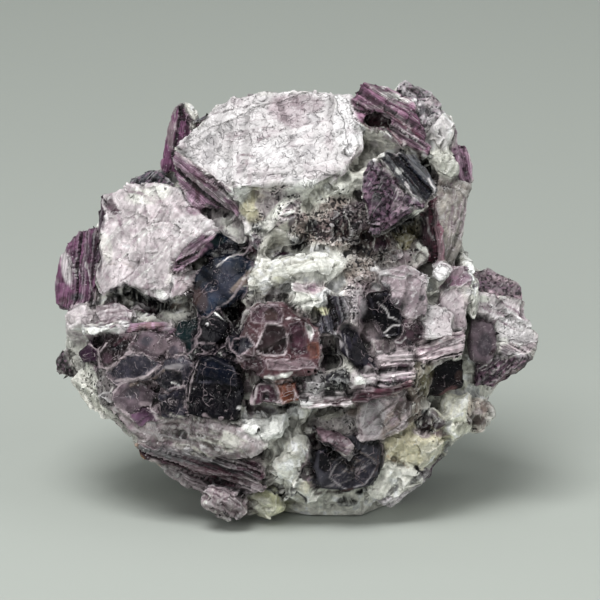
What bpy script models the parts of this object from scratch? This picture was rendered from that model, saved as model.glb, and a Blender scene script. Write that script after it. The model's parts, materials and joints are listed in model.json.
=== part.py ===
"""Raw lepidolite: mica books grown into a lump of pale feldspar, one natural solid."""

import math
import random

import bmesh
import bpy
from mathutils import Quaternion, Vector

MM = 0.001

# The front is described as it is seen: u runs right, v runs up and depth comes
# towards the eye, all in millimetres. The eye looks slightly down on the stone.
EYE_HEIGHT_ANGLE = math.radians(14.0)
EYE_DISTANCE = 620.0
EYE_CENTRE = (0.45, 33.3)
RIGHT = Vector((1.0, 0.0, 0.0))
UP = Vector((0.0, math.sin(EYE_HEIGHT_ANGLE), math.cos(EYE_HEIGHT_ANGLE)))
TOWARDS = Vector((0.0, -math.cos(EYE_HEIGHT_ANGLE), math.sin(EYE_HEIGHT_ANGLE)))
# Where u = v = depth = 0 lies in the part's frame, which stands on z = 0.
FRONT_ORIGIN = Vector((0.1, -8.4, -2.4))
EYE = FRONT_ORIGIN + EYE_CENTRE[0] * RIGHT + EYE_CENTRE[1] * UP + EYE_DISTANCE * TOWARDS

# The feldspar core: its outline from the front, and how far it bulges.
CORE_CENTRE = (0.0, 33.0)
CORE_OUTLINE = (
    (-11.0, 0.8), (-16.0, 5.6), (-22.5, 10.2), (-27.5, 15.0), (-32.5, 20.5), (-34.6, 25.5),
    (-34.2, 31.0), (-33.5, 37.0), (-30.5, 42.5), (-28.0, 47.5), (-23.5, 50.5), (-18.5, 53.5),
    (-15.5, 58.0), (-10.5, 62.0), (-3.0, 63.3), (4.0, 63.3), (11.0, 63.0), (17.0, 63.0),
    (21.3, 59.5), (24.0, 54.5), (24.6, 48.0), (24.2, 41.0), (27.0, 36.6), (32.0, 34.5),
    (34.0, 29.5), (32.5, 24.0), (28.6, 18.5), (25.5, 14.0), (21.0, 9.0), (16.5, 5.0), (12.0, 1.5),
    (0.0, 0.0),
)
CORE_FRONT = 15.5
CORE_BACK = 22.0
CORE_FULLNESS = 2.3
CORE_SPOKES = 27
CORE_RINGS = 5
CORE_ROUGHNESS = 0.06
CORE_SEED = 3

# The thinner sheet left on part of a wide book's face, and how far it reaches down into it.
LEDGE_HEIGHT = 0.55
LEDGE_ROOT = 1.0
LEDGE_SHIFT = 0.6
LEDGE_INSET = 0.93
DENTED_LEDGE_INSET = 0.78
LEAST_LEDGE_WIDTH = 7.0

# The bundles of sheets along a split edge, which stand out unevenly.
RIB_WIDTH = 1.1
RIB_RELIEF = 0.5
RIB_UNEVENNESS = 0.25
RIB_OVERLAP = 0.12
LEAST_RIBS = 2
MOST_RIBS = 3
RIB_INSET = 0.03
RIB_STEP = 0.2
SHEET_SEED = 7

PIT_REACH = 30.0
PIT_TAPER = 0.8
GROUND_SIZE = 200.0

# The books over the back, the top and the underside.
BACK_BOOKS = 46
BACK_SEED = 11
BACK_REACH = 1.06
BACK_LEAN = 0.28
BACK_SIZE = (4.6, 9.4)
BACK_CORNERS = (5, 6, 6, 7)
BACK_CORNER_SHIFT = 0.22
BACK_RAGGEDNESS = (0.72, 1.08)
BACK_FLATNESS = 0.82
BACK_STAND = (-0.6, 1.8)
BACK_THICKNESS = 6.5
BACK_SIDE_HINT = (0.31, 0.2, 0.93)
BACK_OVERHANG = 0.9
BACK_SHRINK = 0.85
BACK_SHRINKS = 3

# Mica plates that show their flat face:
# name, depth of the face, direction it faces (right, up, towards), thickness, outline (u, v).
PLATES = (
    ("top_left_face", 15.0, (-0.35, 0.42, 0.84), 8.0,
     ((-18.7, 56.2), (-16.4, 58.6), (-14.5, 60.0), (-12.0, 63.0), (-9.0, 64.0), (-8.4, 57.0),
      (-9.5, 49.3), (-14.0, 52.6))),
    ("top_face", 17.0, (0.0, 0.48, 0.88), 9.0,
     ((-9.3, 64.0), (-5.0, 64.6), (0.0, 64.9), (5.5, 64.4), (7.5, 61.5), (9.2, 56.6), (7.0, 52.8),
      (2.5, 50.6), (-6.5, 50.6), (-9.6, 50.2), (-9.0, 57.0))),
    ("top_right_face", 16.2, (0.25, 0.42, 0.87), 6.0,
     ((5.2, 64.2), (8.4, 63.1), (9.5, 58.5), (9.7, 56.3), (7.6, 54.0), (5.2, 56.0))),
    ("shoulder_face", 13.8, (-0.35, 0.2, 0.92), 5.5,
     ((-29.1, 49.0), (-25.0, 50.9), (-20.5, 50.9), (-17.5, 49.8), (-14.5, 46.2), (-12.0, 43.6),
      (-14.8, 42.0), (-18.5, 39.3), (-19.2, 36.5), (-18.8, 33.3), (-20.2, 32.8), (-22.5, 34.0),
      (-26.0, 35.7), (-27.5, 34.8), (-29.4, 34.2), (-30.9, 37.0), (-29.8, 39.5), (-29.5, 43.5))),
    ("shoulder_lobe", 16.4, (0.1, 0.1, 0.99), 4.0,
     ((-18.9, 33.6), (-18.6, 37.0), (-16.5, 38.4), (-14.4, 37.2), (-15.4, 35.2), (-17.0, 33.9))),
    ("shoulder_crest", 8.5, (-0.2, 0.6, 0.77), 3.0,
     ((-25.3, 50.2), (-24.5, 52.2), (-22.5, 52.8), (-20.3, 52.4), (-18.7, 50.8), (-21.5, 50.2))),
    ("crest_chip", 9.5, (-0.1, 0.4, 0.91), 3.0,
     ((-15.8, 59.4), (-15.4, 60.4), (-13.5, 61.3), (-12.8, 60.2), (-14.0, 58.8))),
    ("blue_plate", 18.2, (-0.1, 0.1, 0.99), 4.0,
     ((-16.0, 33.0), (-15.6, 37.0), (-12.6, 40.0), (-8.2, 40.2), (-7.4, 37.6), (-9.3, 33.2),
      (-12.0, 31.4), (-14.5, 31.2))),
    ("blue_upper_plate", 17.2, (-0.1, 0.2, 0.97), 3.5,
     ((-14.1, 40.2), (-13.4, 42.6), (-11.2, 43.5), (-9.0, 42.2), (-8.8, 40.2), (-11.5, 39.4))),
    ("scale_outer", 11.8, (-0.45, 0.0, 0.89), 3.0,
     ((-33.0, 25.4), (-31.2, 27.0), (-29.6, 25.8), (-30.4, 24.0), (-32.2, 23.8))),
    ("scale_brown", 14.0, (-0.4, 0.1, 0.91), 3.5,
     ((-29.8, 24.2), (-29.2, 27.2), (-26.6, 28.4), (-25.0, 27.0), (-25.8, 24.4), (-28.0, 23.4))),
    ("scale_grey", 15.6, (-0.4, -0.1, 0.91), 3.5,
     ((-28.0, 22.4), (-26.4, 24.8), (-23.0, 25.4), (-21.0, 24.0), (-21.6, 22.0), (-24.6, 21.0))),
    ("scale_mauve", 15.8, (-0.3, 0.1, 0.95), 3.5,
     ((-25.0, 26.2), (-23.5, 28.5), (-20.0, 28.4), (-18.6, 26.2), (-20.8, 24.9))),
    ("scale_small", 17.0, (-0.25, 0.0, 0.97), 3.0,
     ((-20.2, 26.8), (-18.2, 28.3), (-16.6, 26.6), (-18.4, 24.8))),
    ("scale_scratched", 17.6, (-0.3, -0.05, 0.95), 3.5,
     ((-22.2, 21.6), (-19.6, 24.4), (-16.8, 23.8), (-16.4, 20.8), (-19.5, 19.4))),
    ("scale_dark", 17.6, (-0.3, -0.12, 0.94), 3.5,
     ((-21.2, 19.2), (-17.0, 20.2), (-16.9, 15.8), (-20.4, 15.4))),
    ("scale_lower", 14.6, (-0.42, -0.15, 0.89), 3.0,
     ((-26.6, 19.0), (-24.5, 20.7), (-21.5, 19.9), (-21.8, 17.2), (-25.0, 16.6))),
    ("scale_purple", 14.4, (-0.4, -0.3, 0.87), 3.0,
     ((-25.0, 16.8), (-21.5, 17.0), (-20.6, 15.0), (-23.6, 14.4))),
    ("night_plate", 20.6, (-0.2, -0.05, 0.98), 5.0,
     ((-16.6, 15.8), (-16.7, 21.0), (-15.2, 24.8), (-13.0, 25.3), (-9.2, 23.6), (-8.2, 20.0),
      (-9.2, 15.4))),
    ("night_left_cell", 17.8, (-0.2, 0.1, 0.97), 3.5,
     ((-18.4, 27.9), (-17.8, 30.2), (-15.2, 30.7), (-14.9, 28.2), (-16.4, 26.8))),
    ("night_upper_cell", 19.2, (-0.1, 0.1, 0.99), 4.0,
     ((-14.9, 27.8), (-14.3, 30.5), (-12.0, 31.5), (-10.2, 30.0), (-10.4, 27.9), (-12.5, 26.6))),
    ("night_right_cell", 21.2, (-0.15, 0.1, 0.98), 4.0,
     ((-10.6, 25.6), (-10.3, 28.0), (-7.0, 28.6), (-5.7, 26.5), (-7.8, 24.1))),
    ("plum_book", 23.4, (0.03, 0.08, 0.99), 7.0,
     ((-7.6, 31.4), (-6.0, 33.2), (-1.5, 33.0), (2.0, 30.6), (3.5, 28.0), (3.4, 23.5),
      (2.4, 22.4), (-5.0, 21.6), (-8.6, 23.8), (-8.6, 27.4))),
    ("plum_cell", 22.6, (-0.05, -0.05, 0.99), 4.0,
     ((-7.0, 17.6), (-6.2, 20.8), (-3.7, 21.0), (-2.4, 17.8))),
    ("amber_cell", 22.8, (0.05, -0.05, 0.99), 4.0,
     ((-3.4, 20.9), (0.1, 21.1), (0.3, 18.2), (-2.1, 17.8))),
    ("white_wedge", 19.6, (-0.15, 0.3, 0.94), 5.0,
     ((-8.6, 15.4), (-1.4, 16.8), (-3.0, 13.2), (-5.0, 12.1), (-7.2, 13.5))),
    ("mottled_book", 21.0, (-0.1, 0.05, 0.99), 7.0,
     ((9.8, 52.2), (12.0, 54.6), (17.6, 48.6), (19.4, 47.6), (16.4, 45.6), (13.0, 43.4),
      (10.8, 42.8), (10.0, 48.0))),
    ("crown_knob", 12.4, (0.35, 0.4, 0.85), 6.0,
     ((15.0, 62.0), (15.3, 65.6), (16.5, 66.7), (19.0, 65.4), (20.5, 64.1), (21.6, 62.2),
      (20.4, 59.8), (17.4, 60.8))),
    ("right_plate", 12.4, (0.5, 0.0, 0.87), 6.0,
     ((21.2, 51.6), (25.9, 51.0), (26.1, 50.0), (25.4, 46.0), (24.9, 41.0), (24.0, 38.7),
      (21.8, 39.4), (20.6, 44.0))),
    ("right_wedge", 9.5, (0.5, 0.3, 0.81), 4.0,
     ((24.6, 41.2), (27.2, 38.0), (26.6, 36.8), (24.6, 37.6))),
    ("mirror_flake", 18.0, (0.1, 0.5, 0.86), 3.0,
     ((20.1, 37.7), (22.0, 38.8), (23.3, 37.6), (21.2, 36.3))),
    ("scratched_plate", 20.6, (0.1, 0.15, 0.98), 5.0,
     ((12.4, 37.6), (16.5, 38.6), (19.7, 37.2), (19.6, 31.0), (16.2, 30.0), (13.2, 33.0))),
    ("coal_cell", 21.4, (-0.1, -0.1, 0.99), 4.5,
     ((10.7, 34.0), (13.4, 34.6), (16.0, 30.6), (15.6, 27.6), (12.7, 27.2), (10.9, 30.4))),
    ("brown_cell", 20.4, (0.1, -0.1, 0.99), 3.0,
     ((16.1, 29.9), (18.4, 29.6), (18.2, 27.4), (15.9, 27.2))),
    ("mauve_upper", 15.8, (0.25, 0.2, 0.95), 4.0,
     ((21.4, 39.0), (25.4, 38.6), (25.3, 34.8), (21.5, 35.4))),
    ("mauve_lower", 16.2, (0.3, 0.05, 0.95), 4.0,
     ((21.6, 35.2), (25.4, 35.0), (25.5, 29.0), (22.0, 28.4))),
    ("white_sheaf", 18.8, (0.2, 0.3, 0.93), 4.0,
     ((18.4, 31.8), (21.4, 33.2), (23.6, 31.0), (23.4, 27.6), (18.6, 27.4))),
    ("wing_crust", 8.8, (0.35, 0.45, 0.82), 4.0,
     ((26.4, 36.0), (27.2, 37.5), (28.3, 38.0), (31.5, 36.6), (33.4, 35.6), (34.5, 33.0),
      (30.0, 33.0), (26.8, 34.2))),
    ("wing_face", 10.0, (0.42, 0.05, 0.9), 5.0,
     ((26.0, 34.6), (30.0, 33.8), (34.4, 33.0), (34.3, 30.2), (31.0, 30.4), (26.8, 31.2))),
    ("wing_tip", 9.0, (0.35, 0.05, 0.93), 5.0,
     ((30.0, 31.2), (34.2, 30.6), (36.3, 28.2), (36.1, 26.2), (33.0, 26.0), (30.1, 27.6))),
    ("wing_cell", 12.2, (0.15, 0.1, 0.98), 5.0,
     ((26.0, 30.4), (29.8, 30.2), (30.4, 26.5), (29.0, 23.8), (26.2, 24.6))),
    ("wing_underside", 9.2, (0.3, -0.42, 0.86), 5.0,
     ((27.0, 24.4), (30.0, 24.8), (36.0, 26.4), (34.0, 23.0), (32.0, 21.0), (29.5, 20.0),
      (26.8, 20.4))),
    ("slate_plate", 21.6, (0.3, 0.3, 0.9), 4.0,
     ((6.6, 29.4), (10.0, 27.4), (12.2, 22.8), (8.6, 23.6), (6.8, 26.0))),
    ("soot_book", 14.6, (0.25, -0.25, 0.93), 4.0,
     ((20.6, 24.0), (25.0, 25.2), (24.8, 20.2), (20.2, 19.3))),
    ("pale_plate", 17.8, (0.15, -0.3, 0.94), 5.0,
     ((9.0, 19.0), (16.2, 19.4), (16.6, 14.2), (13.0, 12.0), (9.6, 12.2))),
    ("lip_plate", 18.6, (-0.1, 0.4, 0.91), 4.0,
     ((2.2, 14.4), (5.8, 14.2), (8.5, 11.4), (7.6, 10.2), (3.9, 12.2))),
    ("charcoal_book", 15.4, (0.05, -0.25, 0.97), 6.0,
     ((2.4, 8.0), (3.0, 10.4), (5.0, 11.9), (9.5, 11.8), (12.4, 11.0), (12.7, 8.0), (11.0, 5.2),
      (7.5, 4.3), (3.5, 4.8))),
    ("green_plate", 12.2, (0.1, -0.4, 0.91), 5.0,
     ((10.4, 9.4), (17.0, 8.6), (18.8, 6.0), (14.5, 3.0), (10.4, 3.4))),
    ("shingle_upper", 16.6, (-0.35, -0.38, 0.86), 5.0,
     ((-28.2, 17.0), (-20.0, 15.2), (-12.0, 15.4), (-6.0, 14.2), (-4.4, 11.0), (-9.0, 9.4),
      (-18.0, 10.6), (-24.4, 12.2))),
    ("green_slope", 9.4, (-0.45, -0.2, 0.87), 5.0,
     ((-34.0, 21.2), (-30.6, 24.6), (-27.0, 21.4), (-26.8, 15.4), (-30.8, 16.4), (-33.0, 19.0))),
    ("slope_flake", 5.0, (-0.6, -0.15, 0.79), 4.0,
     ((-36.3, 24.4), (-34.8, 25.4), (-33.2, 21.6), (-34.4, 21.0), (-36.1, 22.6))),
    ("folded_plate", 12.0, (-0.3, 0.2, 0.93), 3.5,
     ((-30.4, 32.6), (-27.0, 33.2), (-24.4, 31.8), (-25.2, 30.0), (-29.6, 29.6))),
)

# Mica books that show their split edges:
# name, depth, direction faced, thickness, direction of the splits (right, up), outline (u, v).
EDGES = (
    ("rim_edge", 15.6, (-0.3, -0.3, 0.91), 5.0, (10.0, -8.2),
     ((-18.6, 55.8), (-14.0, 52.2), (-9.2, 48.8), (-8.3, 46.6), (-11.0, 46.4), (-14.5, 47.4),
      (-16.8, 48.8), (-18.4, 51.8))),
    ("blade_edge", 8.4, (-0.35, 0.0, 0.94), 4.5, (2.0, 10.0),
     ((-20.6, 52.4), (-20.0, 56.0), (-19.4, 59.0), (-18.7, 61.2), (-17.6, 62.7), (-16.8, 62.3),
      (-16.0, 60.0), (-16.0, 56.0), (-17.5, 52.0))),
    ("left_book", 5.8, (-0.42, 0.15, 0.9), 6.0, (0.5, 10.0),
     ((-36.0, 32.4), (-36.2, 36.0), (-35.6, 39.2), (-34.4, 41.8), (-32.2, 43.8), (-30.2, 44.3),
      (-29.6, 40.0), (-30.6, 37.0), (-30.0, 32.8), (-32.0, 32.0))),
    ("left_strip", 9.4, (-0.5, 0.1, 0.86), 4.0, (0.3, 10.0),
     ((-30.0, 42.6), (-30.0, 47.0), (-29.1, 49.0), (-28.4, 47.0), (-28.6, 42.6))),
    ("shoulder_edge", 17.4, (0.15, -0.3, 0.94), 4.0, (7.0, 4.6),
     ((-19.0, 37.8), (-17.0, 41.0), (-14.0, 43.2), (-11.4, 43.6), (-12.2, 42.0), (-15.4, 39.6),
      (-17.4, 37.4))),
    ("brick_edge", 14.4, (-0.25, 0.15, 0.96), 3.0, (10.0, 1.0),
     ((-26.0, 29.6), (-19.0, 30.2), (-18.8, 28.4), (-25.6, 28.2))),
    ("crown_edge", 15.4, (0.1, 0.35, 0.93), 6.0, (8.0, -5.5),
     ((8.2, 60.2), (8.9, 65.2), (10.3, 66.1), (13.0, 65.3), (17.2, 63.6), (19.6, 58.4),
      (20.0, 55.0), (17.4, 56.0), (14.0, 58.4), (10.4, 60.6))),
    ("mottled_edge", 19.6, (0.42, 0.42, 0.8), 6.0, (5.2, -7.0),
     ((12.0, 54.6), (13.4, 56.0), (17.5, 54.9), (21.1, 49.6), (19.6, 47.6), (17.6, 48.4))),
    ("outer_edge", 9.6, (0.55, 0.1, 0.83), 4.0, (1.2, -8.0),
     ((22.9, 58.6), (23.7, 58.2), (25.0, 56.3), (26.1, 54.8), (26.5, 53.0), (26.1, 50.4),
      (24.0, 50.8), (23.2, 55.0))),
    ("right_edge", 14.4, (-0.2, 0.0, 0.98), 4.0, (-0.6, 10.0),
     ((19.2, 48.0), (21.0, 48.8), (21.8, 44.0), (22.2, 39.2), (19.8, 39.4), (19.0, 43.0))),
    ("mauve_band", 18.4, (0.1, 0.1, 0.99), 4.0, (8.0, 2.8),
     ((17.4, 24.6), (17.8, 27.2), (25.2, 29.2), (25.5, 27.0), (25.0, 25.0), (20.4, 24.0))),
    ("lilac_block", 20.2, (0.1, -0.12, 0.99), 4.0, (10.0, 0.8),
     ((12.0, 24.8), (17.6, 25.8), (17.7, 20.8), (12.2, 20.2))),
    ("red_line", 20.6, (0.05, -0.2, 0.98), 4.0, (10.0, 0.9),
     ((7.6, 18.8), (17.2, 21.3), (17.5, 20.0), (7.8, 17.3))),
    ("white_line", 21.2, (0.0, -0.2, 0.98), 4.0, (10.0, 0.0),
     ((0.2, 18.7), (8.4, 18.9), (8.4, 17.4), (0.4, 17.2))),
    ("grey_strip", 22.0, (0.2, 0.1, 0.97), 4.0, (-1.5, 6.0),
     ((3.6, 28.2), (3.4, 31.0), (4.6, 34.2), (7.2, 34.0), (7.4, 31.0), (6.4, 28.0))),
    ("shingle_middle", 14.8, (-0.3, -0.42, 0.85), 5.0, (10.0, -2.6),
     ((-24.4, 11.8), (-18.0, 10.8), (-12.0, 9.8), (-5.4, 8.4), (-5.0, 6.4), (-12.0, 6.8),
      (-18.6, 8.4), (-23.4, 9.8))),
    ("shingle_lower", 13.2, (-0.3, -0.45, 0.84), 5.0, (10.0, -2.8),
     ((-19.0, 8.4), (-12.0, 7.2), (-6.0, 6.4), (-4.6, 4.4), (-9.0, 3.9), (-15.4, 4.9))),
    ("wing_fibres", 9.6, (0.4, -0.1, 0.91), 4.0, (8.0, -4.0),
     ((29.8, 26.8), (34.0, 27.0), (36.2, 26.8), (35.4, 25.2), (31.0, 24.2))),
    ("base_flakes", 10.6, (0.3, -0.45, 0.84), 4.0, (7.0, 4.5),
     ((12.2, 2.6), (12.2, 4.4), (16.0, 6.6), (19.6, 8.2), (20.2, 7.2), (17.4, 4.7), (14.0, 2.3))),
)

# Rounded lumps of feldspar and quartz: name, u, v, depth, half sizes (right, up, deep), turn.
LUMPS = (
    ("quartz_lump", 21.8, 53.6, 11.5, (2.4, 3.6, 4.0), 10.0),
    ("sugar_lump", 21.0, 58.6, 10.5, (3.0, 3.2, 4.5), 0.0),
    ("crown_filling", 15.5, 61.0, 9.5, (5.5, 4.0, 5.5), -20.0),
    ("cream_patch", -6.2, 47.4, 15.2, (4.2, 3.6, 4.0), 15.0),
    ("speckled_patch", -1.6, 46.0, 15.6, (4.6, 4.6, 4.0), 0.0),
    ("mottled_bed", 5.6, 45.0, 15.4, (6.0, 5.8, 4.0), 20.0),
    ("ridge_under_top", 6.0, 49.6, 16.6, (5.6, 1.9, 3.0), 32.0),
    ("hollow_floor", 14.2, 40.6, 13.6, (6.4, 4.0, 3.6), -8.0),
    ("brown_bed", 10.0, 37.0, 16.6, (3.4, 3.4, 4.0), 0.0),
    ("white_band", 1.4, 37.9, 18.2, (7.4, 2.7, 4.0), 4.0),
    ("white_knot", 2.2, 33.6, 20.2, (4.2, 2.4, 3.4), -10.0),
    ("valley_fill", -6.0, 36.0, 16.8, (3.0, 4.6, 4.0), -20.0),
    ("speckle_column", -6.0, 42.6, 16.0, (2.4, 3.4, 3.4), 0.0),
    ("bright_margin", 2.4, 20.6, 20.2, (2.8, 2.4, 3.4), 0.0),
    ("pearl_patch", 9.6, 21.4, 19.2, (3.0, 2.6, 3.4), 0.0),
    ("soot_patch", 6.0, 21.0, 19.8, (2.6, 2.6, 3.4), 0.0),
    ("smoke_patch", 8.4, 31.6, 18.6, (3.4, 4.2, 4.0), 0.0),
    ("seam", 26.0, 34.6, 12.4, (1.1, 5.0, 3.6), 6.0),
    ("cream_slope", -32.2, 30.0, 6.2, (3.2, 3.4, 5.0), 0.0),
    ("white_ridge", -28.2, 29.0, 11.2, (4.6, 1.5, 3.4), 8.0),
    ("pillar", -1.0, 10.8, 13.6, (3.6, 6.4, 4.4), -4.0),
    ("pillar_foot", 1.6, 6.2, 10.6, (4.4, 3.6, 4.6), 0.0),
    ("straw_lobe", -4.6, 2.9, 8.8, (3.4, 2.6, 4.0), -6.0),
    ("pearl_lobe", -11.0, 3.2, 11.6, (4.2, 2.8, 4.6), -18.0),
    ("cream_lump", 17.8, 11.8, 11.0, (4.8, 3.9, 5.0), 18.0),
    ("purple_cluster", 20.2, 15.0, 12.2, (2.6, 2.2, 3.4), 0.0),
    ("fibrous_lump", 23.6, 16.0, 9.2, (3.2, 4.6, 5.0), -22.0),
    ("brown_lump", 27.0, 16.2, 5.0, (2.6, 3.2, 4.4), 0.0),
    ("taupe_fill", 17.0, 17.6, 14.0, (2.6, 4.4, 4.0), -25.0),
    ("olive_fill", 18.8, 21.8, 14.0, (2.2, 3.4, 4.0), 0.0),
    ("scale_bed", -23.0, 22.0, 11.0, (9.0, 8.0, 4.6), 0.0),
    ("night_bed", -13.0, 24.0, 15.6, (7.0, 8.4, 4.4), 0.0),
    ("plum_bed", -2.6, 25.0, 18.0, (7.4, 8.0, 4.4), 0.0),
    ("right_bed", 15.0, 28.0, 16.0, (8.6, 10.0, 4.6), 0.0),
    ("lower_bed", -13.0, 10.0, 9.6, (10.0, 5.4, 4.6), -12.0),
    ("lower_right_bed", 9.0, 12.0, 12.4, (7.4, 7.4, 4.0), 0.0),
)

# Pits and gaps between books: name, depth of the floor, outline (u, v).
PITS = (
    ("undercut", 8.5, ((-27.6, 34.2), (-26.0, 35.3), (-22.4, 33.7), (-20.0, 32.5), (-18.6, 32.8),
                       (-18.8, 31.6), (-21.0, 31.0), (-24.0, 32.5), (-26.6, 33.3))),
    ("crown_hollow", 10.0, ((9.5, 60.4), (11.0, 61.9), (13.8, 60.8), (14.9, 58.9), (13.2, 58.5),
                            (10.6, 59.4))),
    ("book_gap", 14.0, ((13.4, 43.3), (17.2, 45.9), (18.6, 45.4), (15.6, 42.8))),
    ("crest_gap", 9.5, ((17.9, 54.6), (21.2, 50.3), (21.6, 51.4), (19.7, 55.2))),
    ("shingle_gap", 9.5, ((-20.4, 12.5), (-18.2, 14.0), (-15.9, 13.5), (-17.0, 12.2))),
    ("crevice", 13.5, ((-10.8, 32.8), (-7.7, 32.2), (-7.6, 29.8), (-10.2, 30.4))),
    ("rim_gap", 11.6, ((-13.2, 47.3), (-9.4, 46.2), (-9.8, 45.3), (-12.6, 45.8))),
    ("lip_gap", 11.5, ((1.9, 13.6), (3.6, 12.0), (7.4, 10.2), (6.6, 9.6), (2.6, 11.0))),
)


def at(u, v, depth):
    """The place of a point seen at (u, v) that lies this far in front of the middle plane."""
    flat = FRONT_ORIGIN + u * RIGHT + v * UP
    return (flat + (EYE - flat) * (depth / EYE_DISTANCE)) * MM


def seen(point):
    """Where a place of the part is seen, as u and v."""
    ray = point / MM - EYE
    flat = EYE + ray * (EYE_DISTANCE / -ray.dot(TOWARDS)) - FRONT_ORIGIN
    return flat.dot(RIGHT), flat.dot(UP)


def direction(facing):
    """A direction given as right, up and towards the eye."""
    return (facing[0] * RIGHT + facing[1] * UP + facing[2] * TOWARDS).normalized()


def middle(outline):
    """The mean of an outline's points."""
    count = len(outline)
    return sum(p[0] for p in outline) / count, sum(p[1] for p in outline) / count


def on_face(outline, depth, facing):
    """Points seen at the outline that lie on the plane through its middle."""
    centre = at(*middle(outline), depth)
    normal = direction(facing)
    eye = EYE * MM
    points = []
    for u, v in outline:
        ray = at(u, v, 0.0) - eye
        points.append(eye + ray * ((centre - eye).dot(normal) / ray.dot(normal)))
    return points


def hull(points, normal):
    """The outline's points with its dents left out, in the same order."""
    kept = list(points)
    turning = True
    while turning and len(kept) > 3:
        turning = False
        for i, here in enumerate(kept):
            before = kept[i - 1]
            after = kept[(i + 1) % len(kept)]
            if (here - before).cross(after - here).dot(normal) * winding(points, normal) <= 0.0:
                kept.pop(i)
                turning = True
                break
    return kept


def winding(points, normal):
    """Whether an outline runs anticlockwise (1) or clockwise (-1) about its normal."""
    twist = sum((points[i - 1].cross(p) for i, p in enumerate(points)), Vector())
    return 1.0 if twist.dot(normal) > 0.0 else -1.0


def clipped(points, origin, normal):
    """The part of an outline without dents that lies on the inner side of a line."""
    kept = []
    for i, here in enumerate(points):
        before = points[i - 1]
        side_before = (before - origin).dot(normal)
        side_here = (here - origin).dot(normal)
        if side_before * side_here < 0.0:
            kept.append(before.lerp(here, side_before / (side_before - side_here)))
        if side_here <= 0.0:
            kept.append(here)
    return kept


def new_object(name, mesh_data):
    """An object of a bmesh, which is freed."""
    mesh = bpy.data.meshes.new(name)
    bmesh.ops.recalc_face_normals(mesh_data, faces=mesh_data.faces)
    mesh_data.to_mesh(mesh)
    mesh_data.free()
    shape = bpy.data.objects.new(name, mesh)
    bpy.context.scene.collection.objects.link(shape)
    return shape


def cutter_object(name, mesh_data):
    """An object that is only cut away from another."""
    cutter = new_object(name, mesh_data)
    cutter.hide_render = True
    cutter.display_type = "WIRE"
    return cutter


def prism(name, points, rise, drop):
    """A closed slab between an outline moved by rise and the same outline moved by drop."""
    slab = bmesh.new()
    top = [slab.verts.new(p + rise) for p in points]
    bottom = [slab.verts.new(p + drop) for p in points]
    slab.faces.new(top)
    slab.faces.new(list(reversed(bottom)))
    for i in range(len(points)):
        slab.faces.new((top[i - 1], bottom[i - 1], bottom[i], top[i]))
    return new_object(name, slab)


def centre_of(points):
    """The mean of points in space."""
    return sum(points, Vector()) / len(points)


def wide(points):
    """The mean width of an outline."""
    centre = centre_of(points)
    return 2.0 * sum((p - centre).length for p in points) / len(points)


def plate(name, points, normal, thickness, chance):
    """A mica book with its cleavage face outwards, and a thinner sheet left on part of it."""
    nothing = Vector()
    solids = [prism(name, points, nothing, -normal * thickness * MM)]
    centre = centre_of(points)
    side = (points[0] - centre).normalized()
    if wide(points) < LEAST_LEDGE_WIDTH * MM:
        return solids
    side.rotate(Quaternion(normal, chance.uniform(0.0, math.tau)))
    shift = side * chance.uniform(-LEDGE_SHIFT, LEDGE_SHIFT) * MM
    round_outline = hull(points, normal)
    inset = LEDGE_INSET if len(round_outline) == len(points) else DENTED_LEDGE_INSET
    inner = [centre + (p - centre) * inset for p in round_outline]
    sheet = clipped(inner, centre + shift, side)
    if len(sheet) >= 3:
        rise = normal * LEDGE_HEIGHT * MM
        solids.append(prism(name + "_sheet", sheet, rise, -normal * LEDGE_ROOT * MM))
    return solids


def split_edge(name, points, normal, thickness, along, chance):
    """A mica book seen from its split side: bundles of sheets that stand out unevenly."""
    across = normal.cross(along).normalized()
    points = hull(points, normal)
    centre = centre_of(points)
    reach = [p.dot(across) for p in points]
    low = min(reach)
    width = max(reach) - low
    count = max(LEAST_RIBS, min(MOST_RIBS, round(width / MM / RIB_WIDTH)))
    solids = []
    for i in range(count):
        start = low + width * i / count - RIB_OVERLAP * MM
        end = low + width * (i + 1) / count + RIB_OVERLAP * MM
        strip = [centre + (p - centre) * (1.0 - RIB_INSET * (i % 2)) for p in points]
        strip = clipped(strip, across * end, across)
        strip = clipped(strip, across * start, -across)
        height = (0.5 - (i % 2)) * RIB_RELIEF
        height += chance.uniform(-RIB_UNEVENNESS, RIB_UNEVENNESS)
        depth = thickness - RIB_STEP * i
        if len(strip) >= 3:
            solids.append(
                prism(f"{name}_{i}", strip, normal * height * MM, -normal * depth * MM)
            )
    return solids


def lump(name, u, v, depth, half_sizes, turn):
    """A rounded, slightly angular lump."""
    ball = bmesh.new()
    bmesh.ops.create_icosphere(ball, subdivisions=1, radius=1.0)
    centre = at(u, v, depth)
    cos_turn = math.cos(math.radians(turn))
    sin_turn = math.sin(math.radians(turn))
    for vert in ball.verts:
        x = vert.co.x * half_sizes[0]
        y = vert.co.y * half_sizes[1]
        right = x * cos_turn - y * sin_turn
        up = x * sin_turn + y * cos_turn
        vert.co = centre + (
            right * RIGHT + up * UP + vert.co.z * half_sizes[2] * TOWARDS
        ) * MM
    return new_object(name, ball)


def core_reach(angle):
    """How far the core's outline lies from its centre in a direction, in millimetres."""
    aim = (math.cos(angle), math.sin(angle))
    best = 0.0
    for i, end in enumerate(CORE_OUTLINE):
        start = CORE_OUTLINE[i - 1]
        sx, sy = start[0] - CORE_CENTRE[0], start[1] - CORE_CENTRE[1]
        ex, ey = end[0] - start[0], end[1] - start[1]
        cross = aim[0] * ey - aim[1] * ex
        if abs(cross) < 1e-9:
            continue
        distance = (sx * ey - sy * ex) / cross
        share = (sx * aim[1] - sy * aim[0]) / cross
        if -1e-6 <= share <= 1.0 + 1e-6 and distance > best:
            best = distance
    return best


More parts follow.
